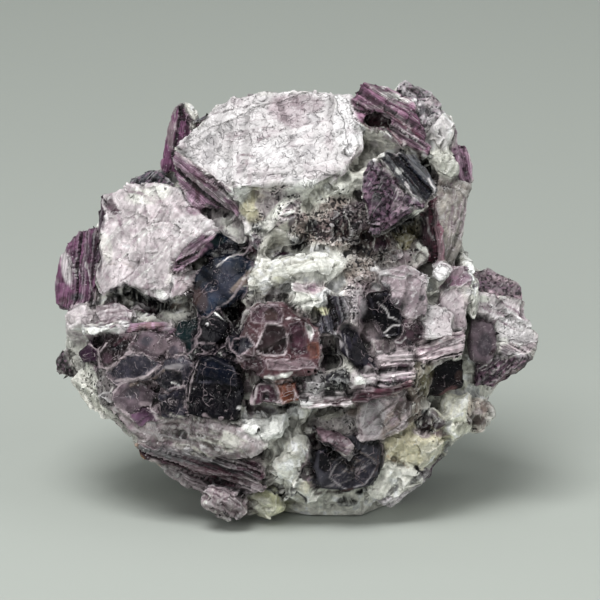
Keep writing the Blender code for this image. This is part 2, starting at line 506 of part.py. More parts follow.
def core_point(spoke, tilt):
    """A point of the core: spoke turns round the outline, tilt runs from back (-1) to front (1)."""
    angle = tilt * math.pi / 2.0
    reach = core_reach(spoke) * math.cos(angle) ** (2.0 / CORE_FULLNESS)
    bulge = CORE_FRONT if tilt > 0.0 else CORE_BACK
    u = CORE_CENTRE[0] + reach * math.cos(spoke)
    v = CORE_CENTRE[1] + reach * math.sin(spoke)
    return at(u, v, bulge * math.sin(angle))


def core():
    """The lump of feldspar that carries the mica."""
    chance = random.Random(CORE_SEED)
    body = bmesh.new()
    centre = at(*CORE_CENTRE, 0.0)
    rings = []
    for level in range(-CORE_RINGS + 1, CORE_RINGS):
        ring = []
        for i in range(CORE_SPOKES):
            spoke = math.tau * (i + 0.5 * (level % 2)) / CORE_SPOKES
            place = core_point(spoke, level / CORE_RINGS)
            swell = 1.0
            if level:
                swell += chance.uniform(-CORE_ROUGHNESS, CORE_ROUGHNESS)
            ring.append(body.verts.new(centre + (place - centre) * swell))
        rings.append((level, ring))
    for (level, lower), (_, upper) in zip(rings, rings[1:]):
        for i in range(CORE_SPOKES):
            after = (i + 1) % CORE_SPOKES
            if level % 2:
                body.faces.new((lower[i], lower[after], upper[after]))
                body.faces.new((lower[i], upper[after], upper[i]))
            else:
                body.faces.new((lower[i], lower[after], upper[i]))
                body.faces.new((lower[after], upper[after], upper[i]))
    for sign, (_, ring) in ((-1.0, rings[0]), (1.0, rings[-1])):
        pole = body.verts.new(core_point(0.0, sign))
        for i in range(CORE_SPOKES):
            body.faces.new((ring[i], ring[(i + 1) % CORE_SPOKES], pole))
    return new_object("lepidolite_specimen", body)


def beyond_outline(point):
    """Whether a place would be seen past the core's outline."""
    u, v = seen(point)
    right = u - CORE_CENTRE[0]
    up = v - CORE_CENTRE[1]
    return math.hypot(right, up) > core_reach(math.atan2(up, right)) + BACK_OVERHANG


def back_books():
    """Books over the back, the top and the underside, turned every way as they grew.

    Each is a name, the points of its outline and the direction that it faces.
    """
    chance = random.Random(BACK_SEED)
    centre = at(*CORE_CENTRE, 0.0)
    golden = math.pi * (3.0 - math.sqrt(5.0))
    books = []
    for i in range(BACK_BOOKS):
        height = -1.0 + BACK_REACH * i / (BACK_BOOKS - 1)
        tilt = math.asin(height) / (math.pi / 2.0)
        place = core_point(i * golden, tilt)
        lean = Vector([chance.gauss(0.0, BACK_LEAN) for _ in range(3)])
        normal = ((place - centre).normalized() + lean).normalized()
        across = normal.cross(Vector(BACK_SIDE_HINT)).normalized()
        upward = normal.cross(across) * BACK_FLATNESS
        size = chance.uniform(*BACK_SIZE)
        corners = chance.choice(BACK_CORNERS)
        start = chance.uniform(0.0, math.tau)
        outline = []
        for k in range(corners):
            turn = k + chance.uniform(-BACK_CORNER_SHIFT, BACK_CORNER_SHIFT)
            angle = start + math.tau * turn / corners
            reach = size * chance.uniform(*BACK_RAGGEDNESS) * MM
            outline.append(place + (across * math.cos(angle) + upward * math.sin(angle)) * reach)
        stand = normal * chance.uniform(*BACK_STAND) * MM
        outline = [p + stand for p in outline]
        for _ in range(BACK_SHRINKS):
            if any(beyond_outline(p) for p in outline):
                outline = [place + (p - place) * BACK_SHRINK for p in outline]
        if not any(beyond_outline(p) for p in outline):
            books.append((f"back_book_{i:02d}", outline, normal))
    return books


def pit(name, floor, outline):
    """A cutter that opens a gap towards the eye, a little wider at its mouth."""
    near = [at(u, v, PIT_REACH) for u, v in outline]
    far = [at(u, v, floor) for u, v in outline]
    centre = centre_of(far)
    far = [centre + (p - centre) * PIT_TAPER for p in far]
    hole = bmesh.new()
    top = [hole.verts.new(p) for p in near]
    bottom = [hole.verts.new(p) for p in far]
    hole.faces.new(top)
    hole.faces.new(list(reversed(bottom)))
    for i in range(len(outline)):
        hole.faces.new((top[i - 1], bottom[i - 1], bottom[i], top[i]))
    return cutter_object(name, hole)


def combine(body, other, operation):
    """Joins a solid to the body or cuts it away, and removes the solid."""
    step = body.modifiers.new(operation.title(), "BOOLEAN")
    step.operation = operation
    step.solver = "MANIFOLD"
    step.object = other
    bpy.context.view_layer.objects.active = body
    bpy.ops.object.modifier_apply(modifier=step.name)
    mesh = other.data
    bpy.data.objects.remove(other)
    bpy.data.meshes.remove(mesh)


def stand_flat(body):
    """Cuts the underside off flat on z = 0, where the stone rests."""
    ground = bmesh.new()
    bmesh.ops.create_cube(ground, size=GROUND_SIZE * MM)
    for vert in ground.verts:
        vert.co.z -= GROUND_SIZE / 2.0 * MM
    combine(body, cutter_object("ground", ground), "DIFFERENCE")


def connected(shape):
    """The groups of faces that hang together across edges of two faces."""
    waiting = set(shape.faces)
    groups = []
    while waiting:
        front = [waiting.pop()]
        group = list(front)
        while front:
            for edge in front.pop().edges:
                if len(edge.link_faces) != 2:
                    continue
                for face in edge.link_faces:
                    if face in waiting:
                        waiting.discard(face)
                        front.append(face)
                        group.append(face)
        groups.append(group)
    return groups


def tidy_faces(body):
    """Fills hollows sealed inside the stone, and splits its many-sided faces into triangles."""
    shape = bmesh.new()
    shape.from_mesh(body.data)
    groups = sorted(connected(shape), key=len)
    for group in groups[:-1]:
        bmesh.ops.delete(shape, geom=group, context="FACES")
    bmesh.ops.triangulate(shape, faces=shape.faces)
    shape.to_mesh(body.data)
    shape.free()


def stone_material():
    """Pale lilac mica with a dull pearly shine."""
    stone = bpy.data.materials.new("lepidolite")
    stone.use_nodes = True
    shader = stone.node_tree.nodes["Principled BSDF"]
    shader.inputs["Base Color"].default_value = (0.44, 0.36, 0.42, 1.0)
    shader.inputs["Roughness"].default_value = 0.45
    shader.inputs["Metallic"].default_value = 0.0
    return stone


def build():
    """The whole specimen."""
    for old in list(bpy.data.objects):
        bpy.data.objects.remove(old)
    chance = random.Random(SHEET_SEED)
    body = core()
    solids = [lump(*row) for row in LUMPS]
    for name, depth, facing, thickness, outline in PLATES:
        points = on_face(outline, depth, facing)
        solids += plate(name, points, direction(facing), thickness, chance)
    for name, depth, facing, thickness, splits, outline in EDGES:
        points = on_face(outline, depth, facing)
        normal = direction(facing)
        along = splits[0] * RIGHT + splits[1] * UP
        solids += split_edge(name, points, normal, thickness, along, chance)
    for name, points, normal in back_books():
        solids += plate(name, points, normal, BACK_THICKNESS, chance)
    for solid in solids:
        combine(body, solid, "UNION")
    for row in PITS:
        combine(body, pit(*row), "DIFFERENCE")
    stand_flat(body)
    tidy_faces(body)
    body.data.materials.append(stone_material())
    body.data.shade_flat()


build()
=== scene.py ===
"""Rough lepidolite: books of lilac to near-black mica grown through pale feldspar."""

import json
import math
import random
from collections import namedtuple

import bpy
import numpy as np
from mathutils import Matrix, Vector

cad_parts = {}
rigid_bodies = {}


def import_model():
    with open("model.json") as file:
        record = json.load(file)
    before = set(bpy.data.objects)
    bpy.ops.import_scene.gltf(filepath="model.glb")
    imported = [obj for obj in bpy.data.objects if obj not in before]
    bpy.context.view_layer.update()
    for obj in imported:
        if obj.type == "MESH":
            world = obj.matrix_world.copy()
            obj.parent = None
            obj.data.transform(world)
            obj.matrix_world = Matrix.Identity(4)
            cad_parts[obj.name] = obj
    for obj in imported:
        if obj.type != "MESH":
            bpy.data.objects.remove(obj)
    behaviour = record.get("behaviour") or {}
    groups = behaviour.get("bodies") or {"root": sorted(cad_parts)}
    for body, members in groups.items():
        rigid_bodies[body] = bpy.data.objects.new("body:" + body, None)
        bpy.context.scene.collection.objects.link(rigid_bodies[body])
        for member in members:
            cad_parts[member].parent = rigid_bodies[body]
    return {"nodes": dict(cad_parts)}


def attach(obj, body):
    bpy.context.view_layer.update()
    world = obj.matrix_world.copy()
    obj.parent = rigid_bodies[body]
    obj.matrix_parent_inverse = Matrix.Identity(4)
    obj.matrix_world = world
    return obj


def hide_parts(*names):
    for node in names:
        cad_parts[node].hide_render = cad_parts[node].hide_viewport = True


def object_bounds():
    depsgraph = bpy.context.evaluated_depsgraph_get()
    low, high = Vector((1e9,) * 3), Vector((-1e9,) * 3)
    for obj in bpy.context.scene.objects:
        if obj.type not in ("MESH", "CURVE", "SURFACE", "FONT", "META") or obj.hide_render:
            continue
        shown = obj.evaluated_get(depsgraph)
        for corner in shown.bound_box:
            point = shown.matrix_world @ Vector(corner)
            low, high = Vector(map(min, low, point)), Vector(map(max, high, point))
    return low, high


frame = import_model()
CAD_BOX = [list(corner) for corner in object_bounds()]

MM = 0.001
STONE = "lepidolite_specimen"

# The front is described as it is seen: u runs right, v runs up and depth comes
# towards the eye, all in millimetres. The eye looks slightly down on the stone.
EYE_HEIGHT_ANGLE = math.radians(14.0)
EYE_DISTANCE = 620.0
EYE_CENTRE = (0.45, 33.3)
VIEW_WIDTH = 90.0
RIGHT = np.array((1.0, 0.0, 0.0))
UP = np.array((0.0, math.sin(EYE_HEIGHT_ANGLE), math.cos(EYE_HEIGHT_ANGLE)))
TOWARDS = np.array((0.0, -math.cos(EYE_HEIGHT_ANGLE), math.sin(EYE_HEIGHT_ANGLE)))
FRONT_ORIGIN = np.array((0.1, -8.4, -2.4))
EYE = FRONT_ORIGIN + EYE_CENTRE[0] * RIGHT + EYE_CENTRE[1] * UP + EYE_DISTANCE * TOWARDS

# Tones of mica and feldspar, as red, green and blue of 0 to 255.
TONES = {
    "silver": (209, 204, 205), "bright": (236, 233, 234), "white": (242, 242, 238),
    "rose_white": (202, 192, 195), "rose_grey": (184, 171, 175), "taupe_rose": (150, 143, 137),
    "pale_mauve": (184, 169, 173), "lilac_grey": (166, 150, 156), "ash_mauve": (147, 134, 139),
    "grey_mauve": (131, 115, 121), "shingle_mauve": (142, 130, 132), "lilac": (147, 116, 137),
    "edge_mauve": (132, 96, 118), "mauve": (126, 97, 114), "dull_mauve": (88, 76, 83),
    "purple": (78, 55, 74), "edge_purple": (98, 62, 88), "deep_purple": (45, 27, 44),
    "purple_brown": (56, 36, 50), "wine": (90, 44, 60), "wine_brown": (64, 38, 50),
    "maroon": (58, 22, 36), "brick": (114, 84, 84), "lip_pink": (96, 79, 86),
    "slate_blue": (33, 40, 54), "slate": (52, 50, 60), "dark_slate": (30, 28, 38),
    "night": (7, 6, 12), "night_blue": (8, 13, 26), "night_green": (12, 24, 26),
    "coal": (13, 10, 15), "soot": (18, 14, 17), "charcoal": (42, 39, 44),
    "graphite": (62, 61, 68), "dusk": (68, 49, 65), "ash": (157, 152, 155),
    "plum": (70, 45, 50), "dark_plum": (33, 19, 24), "amber": (108, 62, 46),
    "glow": (108, 72, 66), "brown_mauve": (76, 58, 67), "bark": (33, 25, 27),
    "umber": (60, 46, 44), "brown": (116, 90, 83), "taupe": (132, 117, 109),
    "olive": (104, 98, 70), "ochre": (160, 120, 72), "cream": (222, 214, 184),
    "straw": (198, 197, 160), "albite": (226, 224, 216), "albite_white": (234, 234, 226),
    "albite_shade": (196, 194, 183), "quartz": (206, 206, 196),
}

# Mica plates that show their flat face:
# name, kind, tone, depth of the face, where it faces (right, up, towards), outline (u, v).
PLATES = (
    ("top_left_face", "foil", "silver", 15, (-0.35, 0.42, 0.84),
     ((-18.7, 56.2), (-16.4, 58.6), (-14.5, 60), (-12, 63), (-9, 64), (-8.4, 57), (-9.5, 49.3),
      (-14, 52.6))),
    ("top_face", "foil", "silver", 17, (0, 0.48, 0.88),
     ((-9.3, 64), (-5, 64.6), (0, 64.9), (5.5, 64.4), (7.5, 61.5), (9.2, 56.6), (7, 52.8),
      (2.5, 50.6), (-6.5, 50.6), (-9.6, 50.2), (-9, 57))),
    ("top_right_face", "foil", "bright", 16.2, (0.25, 0.42, 0.87),
     ((5.2, 64.2), (8.4, 63.1), (9.5, 58.5), (9.7, 56.3), (7.6, 54), (5.2, 56))),
    ("shoulder_face", "pearl", "rose_white", 13.8, (-0.35, 0.2, 0.92),
     ((-29.1, 49), (-25, 50.9), (-20.5, 50.9), (-17.5, 49.8), (-14.5, 46.2), (-12, 43.6),
      (-14.8, 42), (-18.5, 39.3), (-19.2, 36.5), (-18.8, 33.3), (-20.2, 32.8), (-22.5, 34),
      (-26, 35.7), (-27.5, 34.8), (-29.4, 34.2), (-30.9, 37), (-29.8, 39.5), (-29.5, 43.5))),
    ("shoulder_lobe", "pearl", "rose_grey", 16.4, (0.1, 0.1, 0.99),
     ((-18.9, 33.6), (-18.6, 37), (-16.5, 38.4), (-14.4, 37.2), (-15.4, 35.2), (-17, 33.9))),
    ("shoulder_crest", "smoky", "graphite", 8.5, (-0.2, 0.6, 0.77),
     ((-25.3, 50.2), (-24.5, 52.2), (-22.5, 52.8), (-20.3, 52.4), (-18.7, 50.8), (-21.5, 50.2))),
    ("crest_chip", "smoky", "umber", 9.5, (-0.1, 0.4, 0.91),
     ((-15.8, 59.4), (-15.4, 60.4), (-13.5, 61.3), (-12.8, 60.2), (-14, 58.8))),
    ("blue_plate", "night", "slate_blue", 18.2, (-0.1, 0.1, 0.99),
     ((-16, 33), (-15.6, 37), (-12.6, 40), (-8.2, 40.2), (-7.4, 37.6), (-9.3, 33.2), (-12, 31.4),
      (-14.5, 31.2))),
    ("blue_upper_plate", "night", "night_blue", 17.2, (-0.1, 0.2, 0.97),
     ((-14.1, 40.2), (-13.4, 42.6), (-11.2, 43.5), (-9, 42.2), (-8.8, 40.2), (-11.5, 39.4))),
    ("scale_outer", "cell", "deep_purple", 11.8, (-0.45, 0, 0.89),
     ((-33, 25.4), (-31.2, 27), (-29.6, 25.8), (-30.4, 24), (-32.2, 23.8))),
    ("scale_brown", "cell", "bark", 14, (-0.4, 0.1, 0.91),
     ((-29.8, 24.2), (-29.2, 27.2), (-26.6, 28.4), (-25, 27), (-25.8, 24.4), (-28, 23.4))),
    ("scale_grey", "cell", "slate", 15.6, (-0.4, -0.1, 0.91),
     ((-28, 22.4), (-26.4, 24.8), (-23, 25.4), (-21, 24), (-21.6, 22), (-24.6, 21))),
    ("scale_mauve", "cell", "dull_mauve", 15.8, (-0.3, 0.1, 0.95),
     ((-25, 26.2), (-23.5, 28.5), (-20, 28.4), (-18.6, 26.2), (-20.8, 24.9))),
    ("scale_small", "cell", "dull_mauve", 17, (-0.25, 0, 0.97),
     ((-20.2, 26.8), (-18.2, 28.3), (-16.6, 26.6), (-18.4, 24.8))),
    ("scale_scratched", "cell", "slate", 17.6, (-0.3, -0.05, 0.95),
     ((-22.2, 21.6), (-19.6, 24.4), (-16.8, 23.8), (-16.4, 20.8), (-19.5, 19.4))),
    ("scale_dark", "cell", "dark_slate", 17.6, (-0.3, -0.12, 0.94),
     ((-21.2, 19.2), (-17, 20.2), (-16.9, 15.8), (-20.4, 15.4))),
    ("scale_lower", "cell", "dull_mauve", 14.6, (-0.42, -0.15, 0.89),
     ((-26.6, 19), (-24.5, 20.7), (-21.5, 19.9), (-21.8, 17.2), (-25, 16.6))),
    ("scale_purple", "cell", "purple", 14.4, (-0.4, -0.3, 0.87),
     ((-25, 16.8), (-21.5, 17), (-20.6, 15), (-23.6, 14.4))),
    ("night_plate", "night", "night", 20.6, (-0.2, -0.05, 0.98),
     ((-16.6, 15.8), (-16.7, 21), (-15.2, 24.8), (-13, 25.3), (-9.2, 23.6), (-8.2, 20),
      (-9.2, 15.4))),
    ("night_left_cell", "night", "night_green", 17.8, (-0.2, 0.1, 0.97),
     ((-18.4, 27.9), (-17.8, 30.2), (-15.2, 30.7), (-14.9, 28.2), (-16.4, 26.8))),
    ("night_upper_cell", "night", "night", 19.2, (-0.1, 0.1, 0.99),
     ((-14.9, 27.8), (-14.3, 30.5), (-12, 31.5), (-10.2, 30), (-10.4, 27.9), (-12.5, 26.6))),
    ("night_right_cell", "night", "night_blue", 21.2, (-0.15, 0.1, 0.98),
     ((-10.6, 25.6), (-10.3, 28), (-7, 28.6), (-5.7, 26.5), (-7.8, 24.1))),
    ("plum_book", "plum", "plum", 23.4, (0.03, 0.08, 0.99),
     ((-7.6, 31.4), (-6, 33.2), (-1.5, 33), (2, 30.6), (3.5, 28), (3.4, 23.5), (2.4, 22.4),
      (-5, 21.6), (-8.6, 23.8), (-8.6, 27.4))),
    ("plum_cell", "plum", "dark_plum", 22.6, (-0.05, -0.05, 0.99),
     ((-7, 17.6), (-6.2, 20.8), (-3.7, 21), (-2.4, 17.8))),
    ("amber_cell", "plum", "amber", 22.8, (0.05, -0.05, 0.99),
     ((-3.4, 20.9), (0.1, 21.1), (0.3, 18.2), (-2.1, 17.8))),
    ("white_wedge", "spar", "white", 19.6, (-0.15, 0.3, 0.94),
     ((-8.6, 15.4), (-1.4, 16.8), (-3, 13.2), (-5, 12.1), (-7.2, 13.5))),
    ("mottled_book", "smoky", "dusk", 21, (-0.1, 0.05, 0.99),
     ((9.8, 52.2), (12, 54.6), (17.6, 48.6), (19.4, 47.6), (16.4, 45.6), (13, 43.4), (10.8, 42.8),
      (10, 48))),
    ("crown_knob", "smoky", "ash", 12.4, (0.35, 0.4, 0.85),
     ((15, 62), (15.3, 65.6), (16.5, 66.7), (19, 65.4), (20.5, 64.1), (21.6, 62.2), (20.4, 59.8),
      (17.4, 60.8))),
    ("right_plate", "pearl", "taupe_rose", 12.4, (0.5, 0, 0.87),
     ((21.2, 51.6), (25.9, 51), (26.1, 50), (25.4, 46), (24.9, 41), (24, 38.7), (21.8, 39.4),
      (20.6, 44))),
    ("right_wedge", "spar", "albite", 9.5, (0.5, 0.3, 0.81),
     ((24.6, 41.2), (27.2, 38), (26.6, 36.8), (24.6, 37.6))),
    ("mirror_flake", "foil", "bright", 18, (0.1, 0.5, 0.86),
     ((20.1, 37.7), (22, 38.8), (23.3, 37.6), (21.2, 36.3))),
    ("scratched_plate", "pearl", "ash_mauve", 20.6, (0.1, 0.15, 0.98),
     ((12.4, 37.6), (16.5, 38.6), (19.7, 37.2), (19.6, 31), (16.2, 30), (13.2, 33))),
    ("coal_cell", "night", "coal", 21.4, (-0.1, -0.1, 0.99),
     ((10.7, 34), (13.4, 34.6), (16, 30.6), (15.6, 27.6), (12.7, 27.2), (10.9, 30.4))),
    ("brown_cell", "cell", "brown_mauve", 20.4, (0.1, -0.1, 0.99),
     ((16.1, 29.9), (18.4, 29.6), (18.2, 27.4), (15.9, 27.2))),
    ("mauve_upper", "pearl", "mauve", 15.8, (0.25, 0.2, 0.95),
     ((21.4, 39), (25.4, 38.6), (25.3, 34.8), (21.5, 35.4))),
    ("mauve_lower", "pearl", "lilac_grey", 16.2, (0.3, 0.05, 0.95),
     ((21.6, 35.2), (25.4, 35), (25.5, 29), (22, 28.4))),
    ("white_sheaf", "foil", "silver", 18.8, (0.2, 0.3, 0.93),
     ((18.4, 31.8), (21.4, 33.2), (23.6, 31), (23.4, 27.6), (18.6, 27.4))),
    ("wing_crust", "smoky", "grey_mauve", 8.8, (0.35, 0.45, 0.82),
     ((26.4, 36), (27.2, 37.5), (28.3, 38), (31.5, 36.6), (33.4, 35.6), (34.5, 33), (30, 33),
      (26.8, 34.2))),
    ("wing_face", "pearl", "rose_white", 10, (0.42, 0.05, 0.9),
     ((26, 34.6), (30, 33.8), (34.4, 33), (34.3, 30.2), (31, 30.4), (26.8, 31.2))),
    ("wing_tip", "foil", "silver", 9, (0.35, 0.05, 0.93),
     ((30, 31.2), (34.2, 30.6), (36.3, 28.2), (36.1, 26.2), (33, 26), (30.1, 27.6))),
    ("wing_cell", "cell", "dull_mauve", 12.2, (0.15, 0.1, 0.98),
     ((26, 30.4), (29.8, 30.2), (30.4, 26.5), (29, 23.8), (26.2, 24.6))),
    ("wing_underside", "smoky", "purple_brown", 9.2, (0.3, -0.42, 0.86),
     ((27, 24.4), (30, 24.8), (36, 26.4), (34, 23), (32, 21), (29.5, 20), (26.8, 20.4))),
    ("slate_plate", "night", "dark_slate", 21.6, (0.3, 0.3, 0.9),
     ((6.6, 29.4), (10, 27.4), (12.2, 22.8), (8.6, 23.6), (6.8, 26))),
    ("soot_book", "night", "soot", 14.6, (0.25, -0.25, 0.93),
     ((20.6, 24), (25, 25.2), (24.8, 20.2), (20.2, 19.3))),
    ("pale_plate", "pearl", "pale_mauve", 17.8, (0.15, -0.3, 0.94),
     ((9, 19), (16.2, 19.4), (16.6, 14.2), (13, 12), (9.6, 12.2))),
    ("lip_plate", "plum", "lip_pink", 18.6, (-0.1, 0.4, 0.91),
     ((2.2, 14.4), (5.8, 14.2), (8.5, 11.4), (7.6, 10.2), (3.9, 12.2))),
    ("charcoal_book", "night", "graphite", 15.4, (0.05, -0.25, 0.97),
     ((2.4, 8), (3, 10.4), (5, 11.9), (9.5, 11.8), (12.4, 11), (12.7, 8), (11, 5.2), (7.5, 4.3),
      (3.5, 4.8))),
    ("green_plate", "spar", "albite", 12.2, (0.1, -0.4, 0.91),
     ((10.4, 9.4), (17, 8.6), (18.8, 6), (14.5, 3), (10.4, 3.4))),
    ("shingle_upper", "pearl", "shingle_mauve", 16.6, (-0.35, -0.38, 0.86),
     ((-28.2, 17), (-20, 15.2), (-12, 15.4), (-6, 14.2), (-4.4, 11), (-9, 9.4), (-18, 10.6),
      (-24.4, 12.2))),
    ("green_slope", "spar", "albite", 9.4, (-0.45, -0.2, 0.87),
     ((-34, 21.2), (-30.6, 24.6), (-27, 21.4), (-26.8, 15.4), (-30.8, 16.4), (-33, 19))),
    ("slope_flake", "smoky", "bark", 5, (-0.6, -0.15, 0.79),
     ((-36.3, 24.4), (-34.8, 25.4), (-33.2, 21.6), (-34.4, 21), (-36.1, 22.6))),
    ("folded_plate", "pearl", "grey_mauve", 12, (-0.3, 0.2, 0.93),
     ((-30.4, 32.6), (-27, 33.2), (-24.4, 31.8), (-25.2, 30), (-29.6, 29.6))),
)


# Mica books that show their split edges:
# name, tone, depth, where it faces, direction of the splits (right, up), outline (u, v).
EDGES = (
    ("rim_edge", "lilac", 15.6, (-0.3, -0.3, 0.91), (10, -8.2),
     ((-18.6, 55.8), (-14, 52.2), (-9.2, 48.8), (-8.3, 46.6), (-11, 46.4), (-14.5, 47.4),
      (-16.8, 48.8), (-18.4, 51.8))),
    ("blade_edge", "edge_purple", 8.4, (-0.35, 0, 0.94), (2, 10),
     ((-20.6, 52.4), (-20, 56), (-19.4, 59), (-18.7, 61.2), (-17.6, 62.7), (-16.8, 62.3),
      (-16, 60), (-16, 56), (-17.5, 52))),
    ("left_book", "edge_purple", 5.8, (-0.42, 0.15, 0.9), (0.5, 10),
     ((-36, 32.4), (-36.2, 36), (-35.6, 39.2), (-34.4, 41.8), (-32.2, 43.8), (-30.2, 44.3),
      (-29.6, 40), (-30.6, 37), (-30, 32.8), (-32, 32))),
    ("left_strip", "purple_brown", 9.4, (-0.5, 0.1, 0.86), (0.3, 10),
     ((-30, 42.6), (-30, 47), (-29.1, 49), (-28.4, 47), (-28.6, 42.6))),
    ("shoulder_edge", "lilac", 17.4, (0.15, -0.3, 0.94), (7, 4.6),
     ((-19, 37.8), (-17, 41), (-14, 43.2), (-11.4, 43.6), (-12.2, 42), (-15.4, 39.6),
      (-17.4, 37.4))),
    ("brick_edge", "lilac", 14.4, (-0.25, 0.15, 0.96), (10, 1),
     ((-26, 29.6), (-19, 30.2), (-18.8, 28.4), (-25.6, 28.2))),
    ("crown_edge", "edge_mauve", 15.4, (0.1, 0.35, 0.93), (8, -5.5),
     ((8.2, 60.2), (8.9, 65.2), (10.3, 66.1), (13, 65.3), (17.2, 63.6), (19.6, 58.4), (20, 55),
      (17.4, 56), (14, 58.4), (10.4, 60.6))),
    ("mottled_edge", "night_blue", 19.6, (0.42, 0.42, 0.8), (5.2, -7),
     ((12, 54.6), (13.4, 56), (17.5, 54.9), (21.1, 49.6), (19.6, 47.6), (17.6, 48.4))),
    ("outer_edge", "lilac", 9.6, (0.55, 0.1, 0.83), (1.2, -8),
     ((22.9, 58.6), (23.7, 58.2), (25, 56.3), (26.1, 54.8), (26.5, 53), (26.1, 50.4), (24, 50.8),
      (23.2, 55))),
    ("right_edge", "wine", 14.4, (-0.2, 0, 0.98), (-0.6, 10),
     ((19.2, 48), (21, 48.8), (21.8, 44), (22.2, 39.2), (19.8, 39.4), (19, 43))),
    ("mauve_band", "pale_mauve", 18.4, (0.1, 0.1, 0.99), (8, 2.8),
     ((17.4, 24.6), (17.8, 27.2), (25.2, 29.2), (25.5, 27), (25, 25), (20.4, 24))),
    ("lilac_block", "rose_grey", 20.2, (0.1, -0.12, 0.99), (10, 0.8),
     ((12, 24.8), (17.6, 25.8), (17.7, 20.8), (12.2, 20.2))),
    ("red_line", "wine", 20.6, (0.05, -0.2, 0.98), (10, 0.9),
     ((7.6, 18.8), (17.2, 21.3), (17.5, 20), (7.8, 17.3))),
    ("white_line", "rose_white", 21.2, (0, -0.2, 0.98), (10, 0),
     ((0.2, 18.7), (8.4, 18.9), (8.4, 17.4), (0.4, 17.2))),
    ("grey_strip", "slate", 22, (0.2, 0.1, 0.97), (-1.5, 6),
     ((3.6, 28.2), (3.4, 31), (4.6, 34.2), (7.2, 34), (7.4, 31), (6.4, 28))),
    ("shingle_middle", "wine_brown", 14.8, (-0.3, -0.42, 0.85), (10, -2.6),
     ((-24.4, 11.8), (-18, 10.8), (-12, 9.8), (-5.4, 8.4), (-5, 6.4), (-12, 6.8), (-18.6, 8.4),
      (-23.4, 9.8))),
    ("shingle_lower", "ash_mauve", 13.2, (-0.3, -0.45, 0.84), (10, -2.8),
     ((-19, 8.4), (-12, 7.2), (-6, 6.4), (-4.6, 4.4), (-9, 3.9), (-15.4, 4.9))),
    ("wing_fibres", "rose_grey", 9.6, (0.4, -0.1, 0.91), (8, -4),
     ((29.8, 26.8), (34, 27), (36.2, 26.8), (35.4, 25.2), (31, 24.2))),
    ("base_flakes", "ash", 10.6, (0.3, -0.45, 0.84), (7, 4.5),
     ((12.2, 2.6), (12.2, 4.4), (16, 6.6), (19.6, 8.2), (20.2, 7.2), (17.4, 4.7), (14, 2.3))),
)

# Drifts of colour in the feldspar of the back: tone, where its drift begins and is full, and
# how thickly it is peppered.
DRIFTS = (
    ("rose_white", 0.1, 0.5, 0.1), ("lilac_grey", 0.45, 0.8, 0.4),
    ("albite_shade", -0.4, -0.7, 0.1), ("dull_mauve", -0.65, -1.0, 0.5),
)
BACK_PEPPER = 0.15
FRONT_PEPPER = 0.02

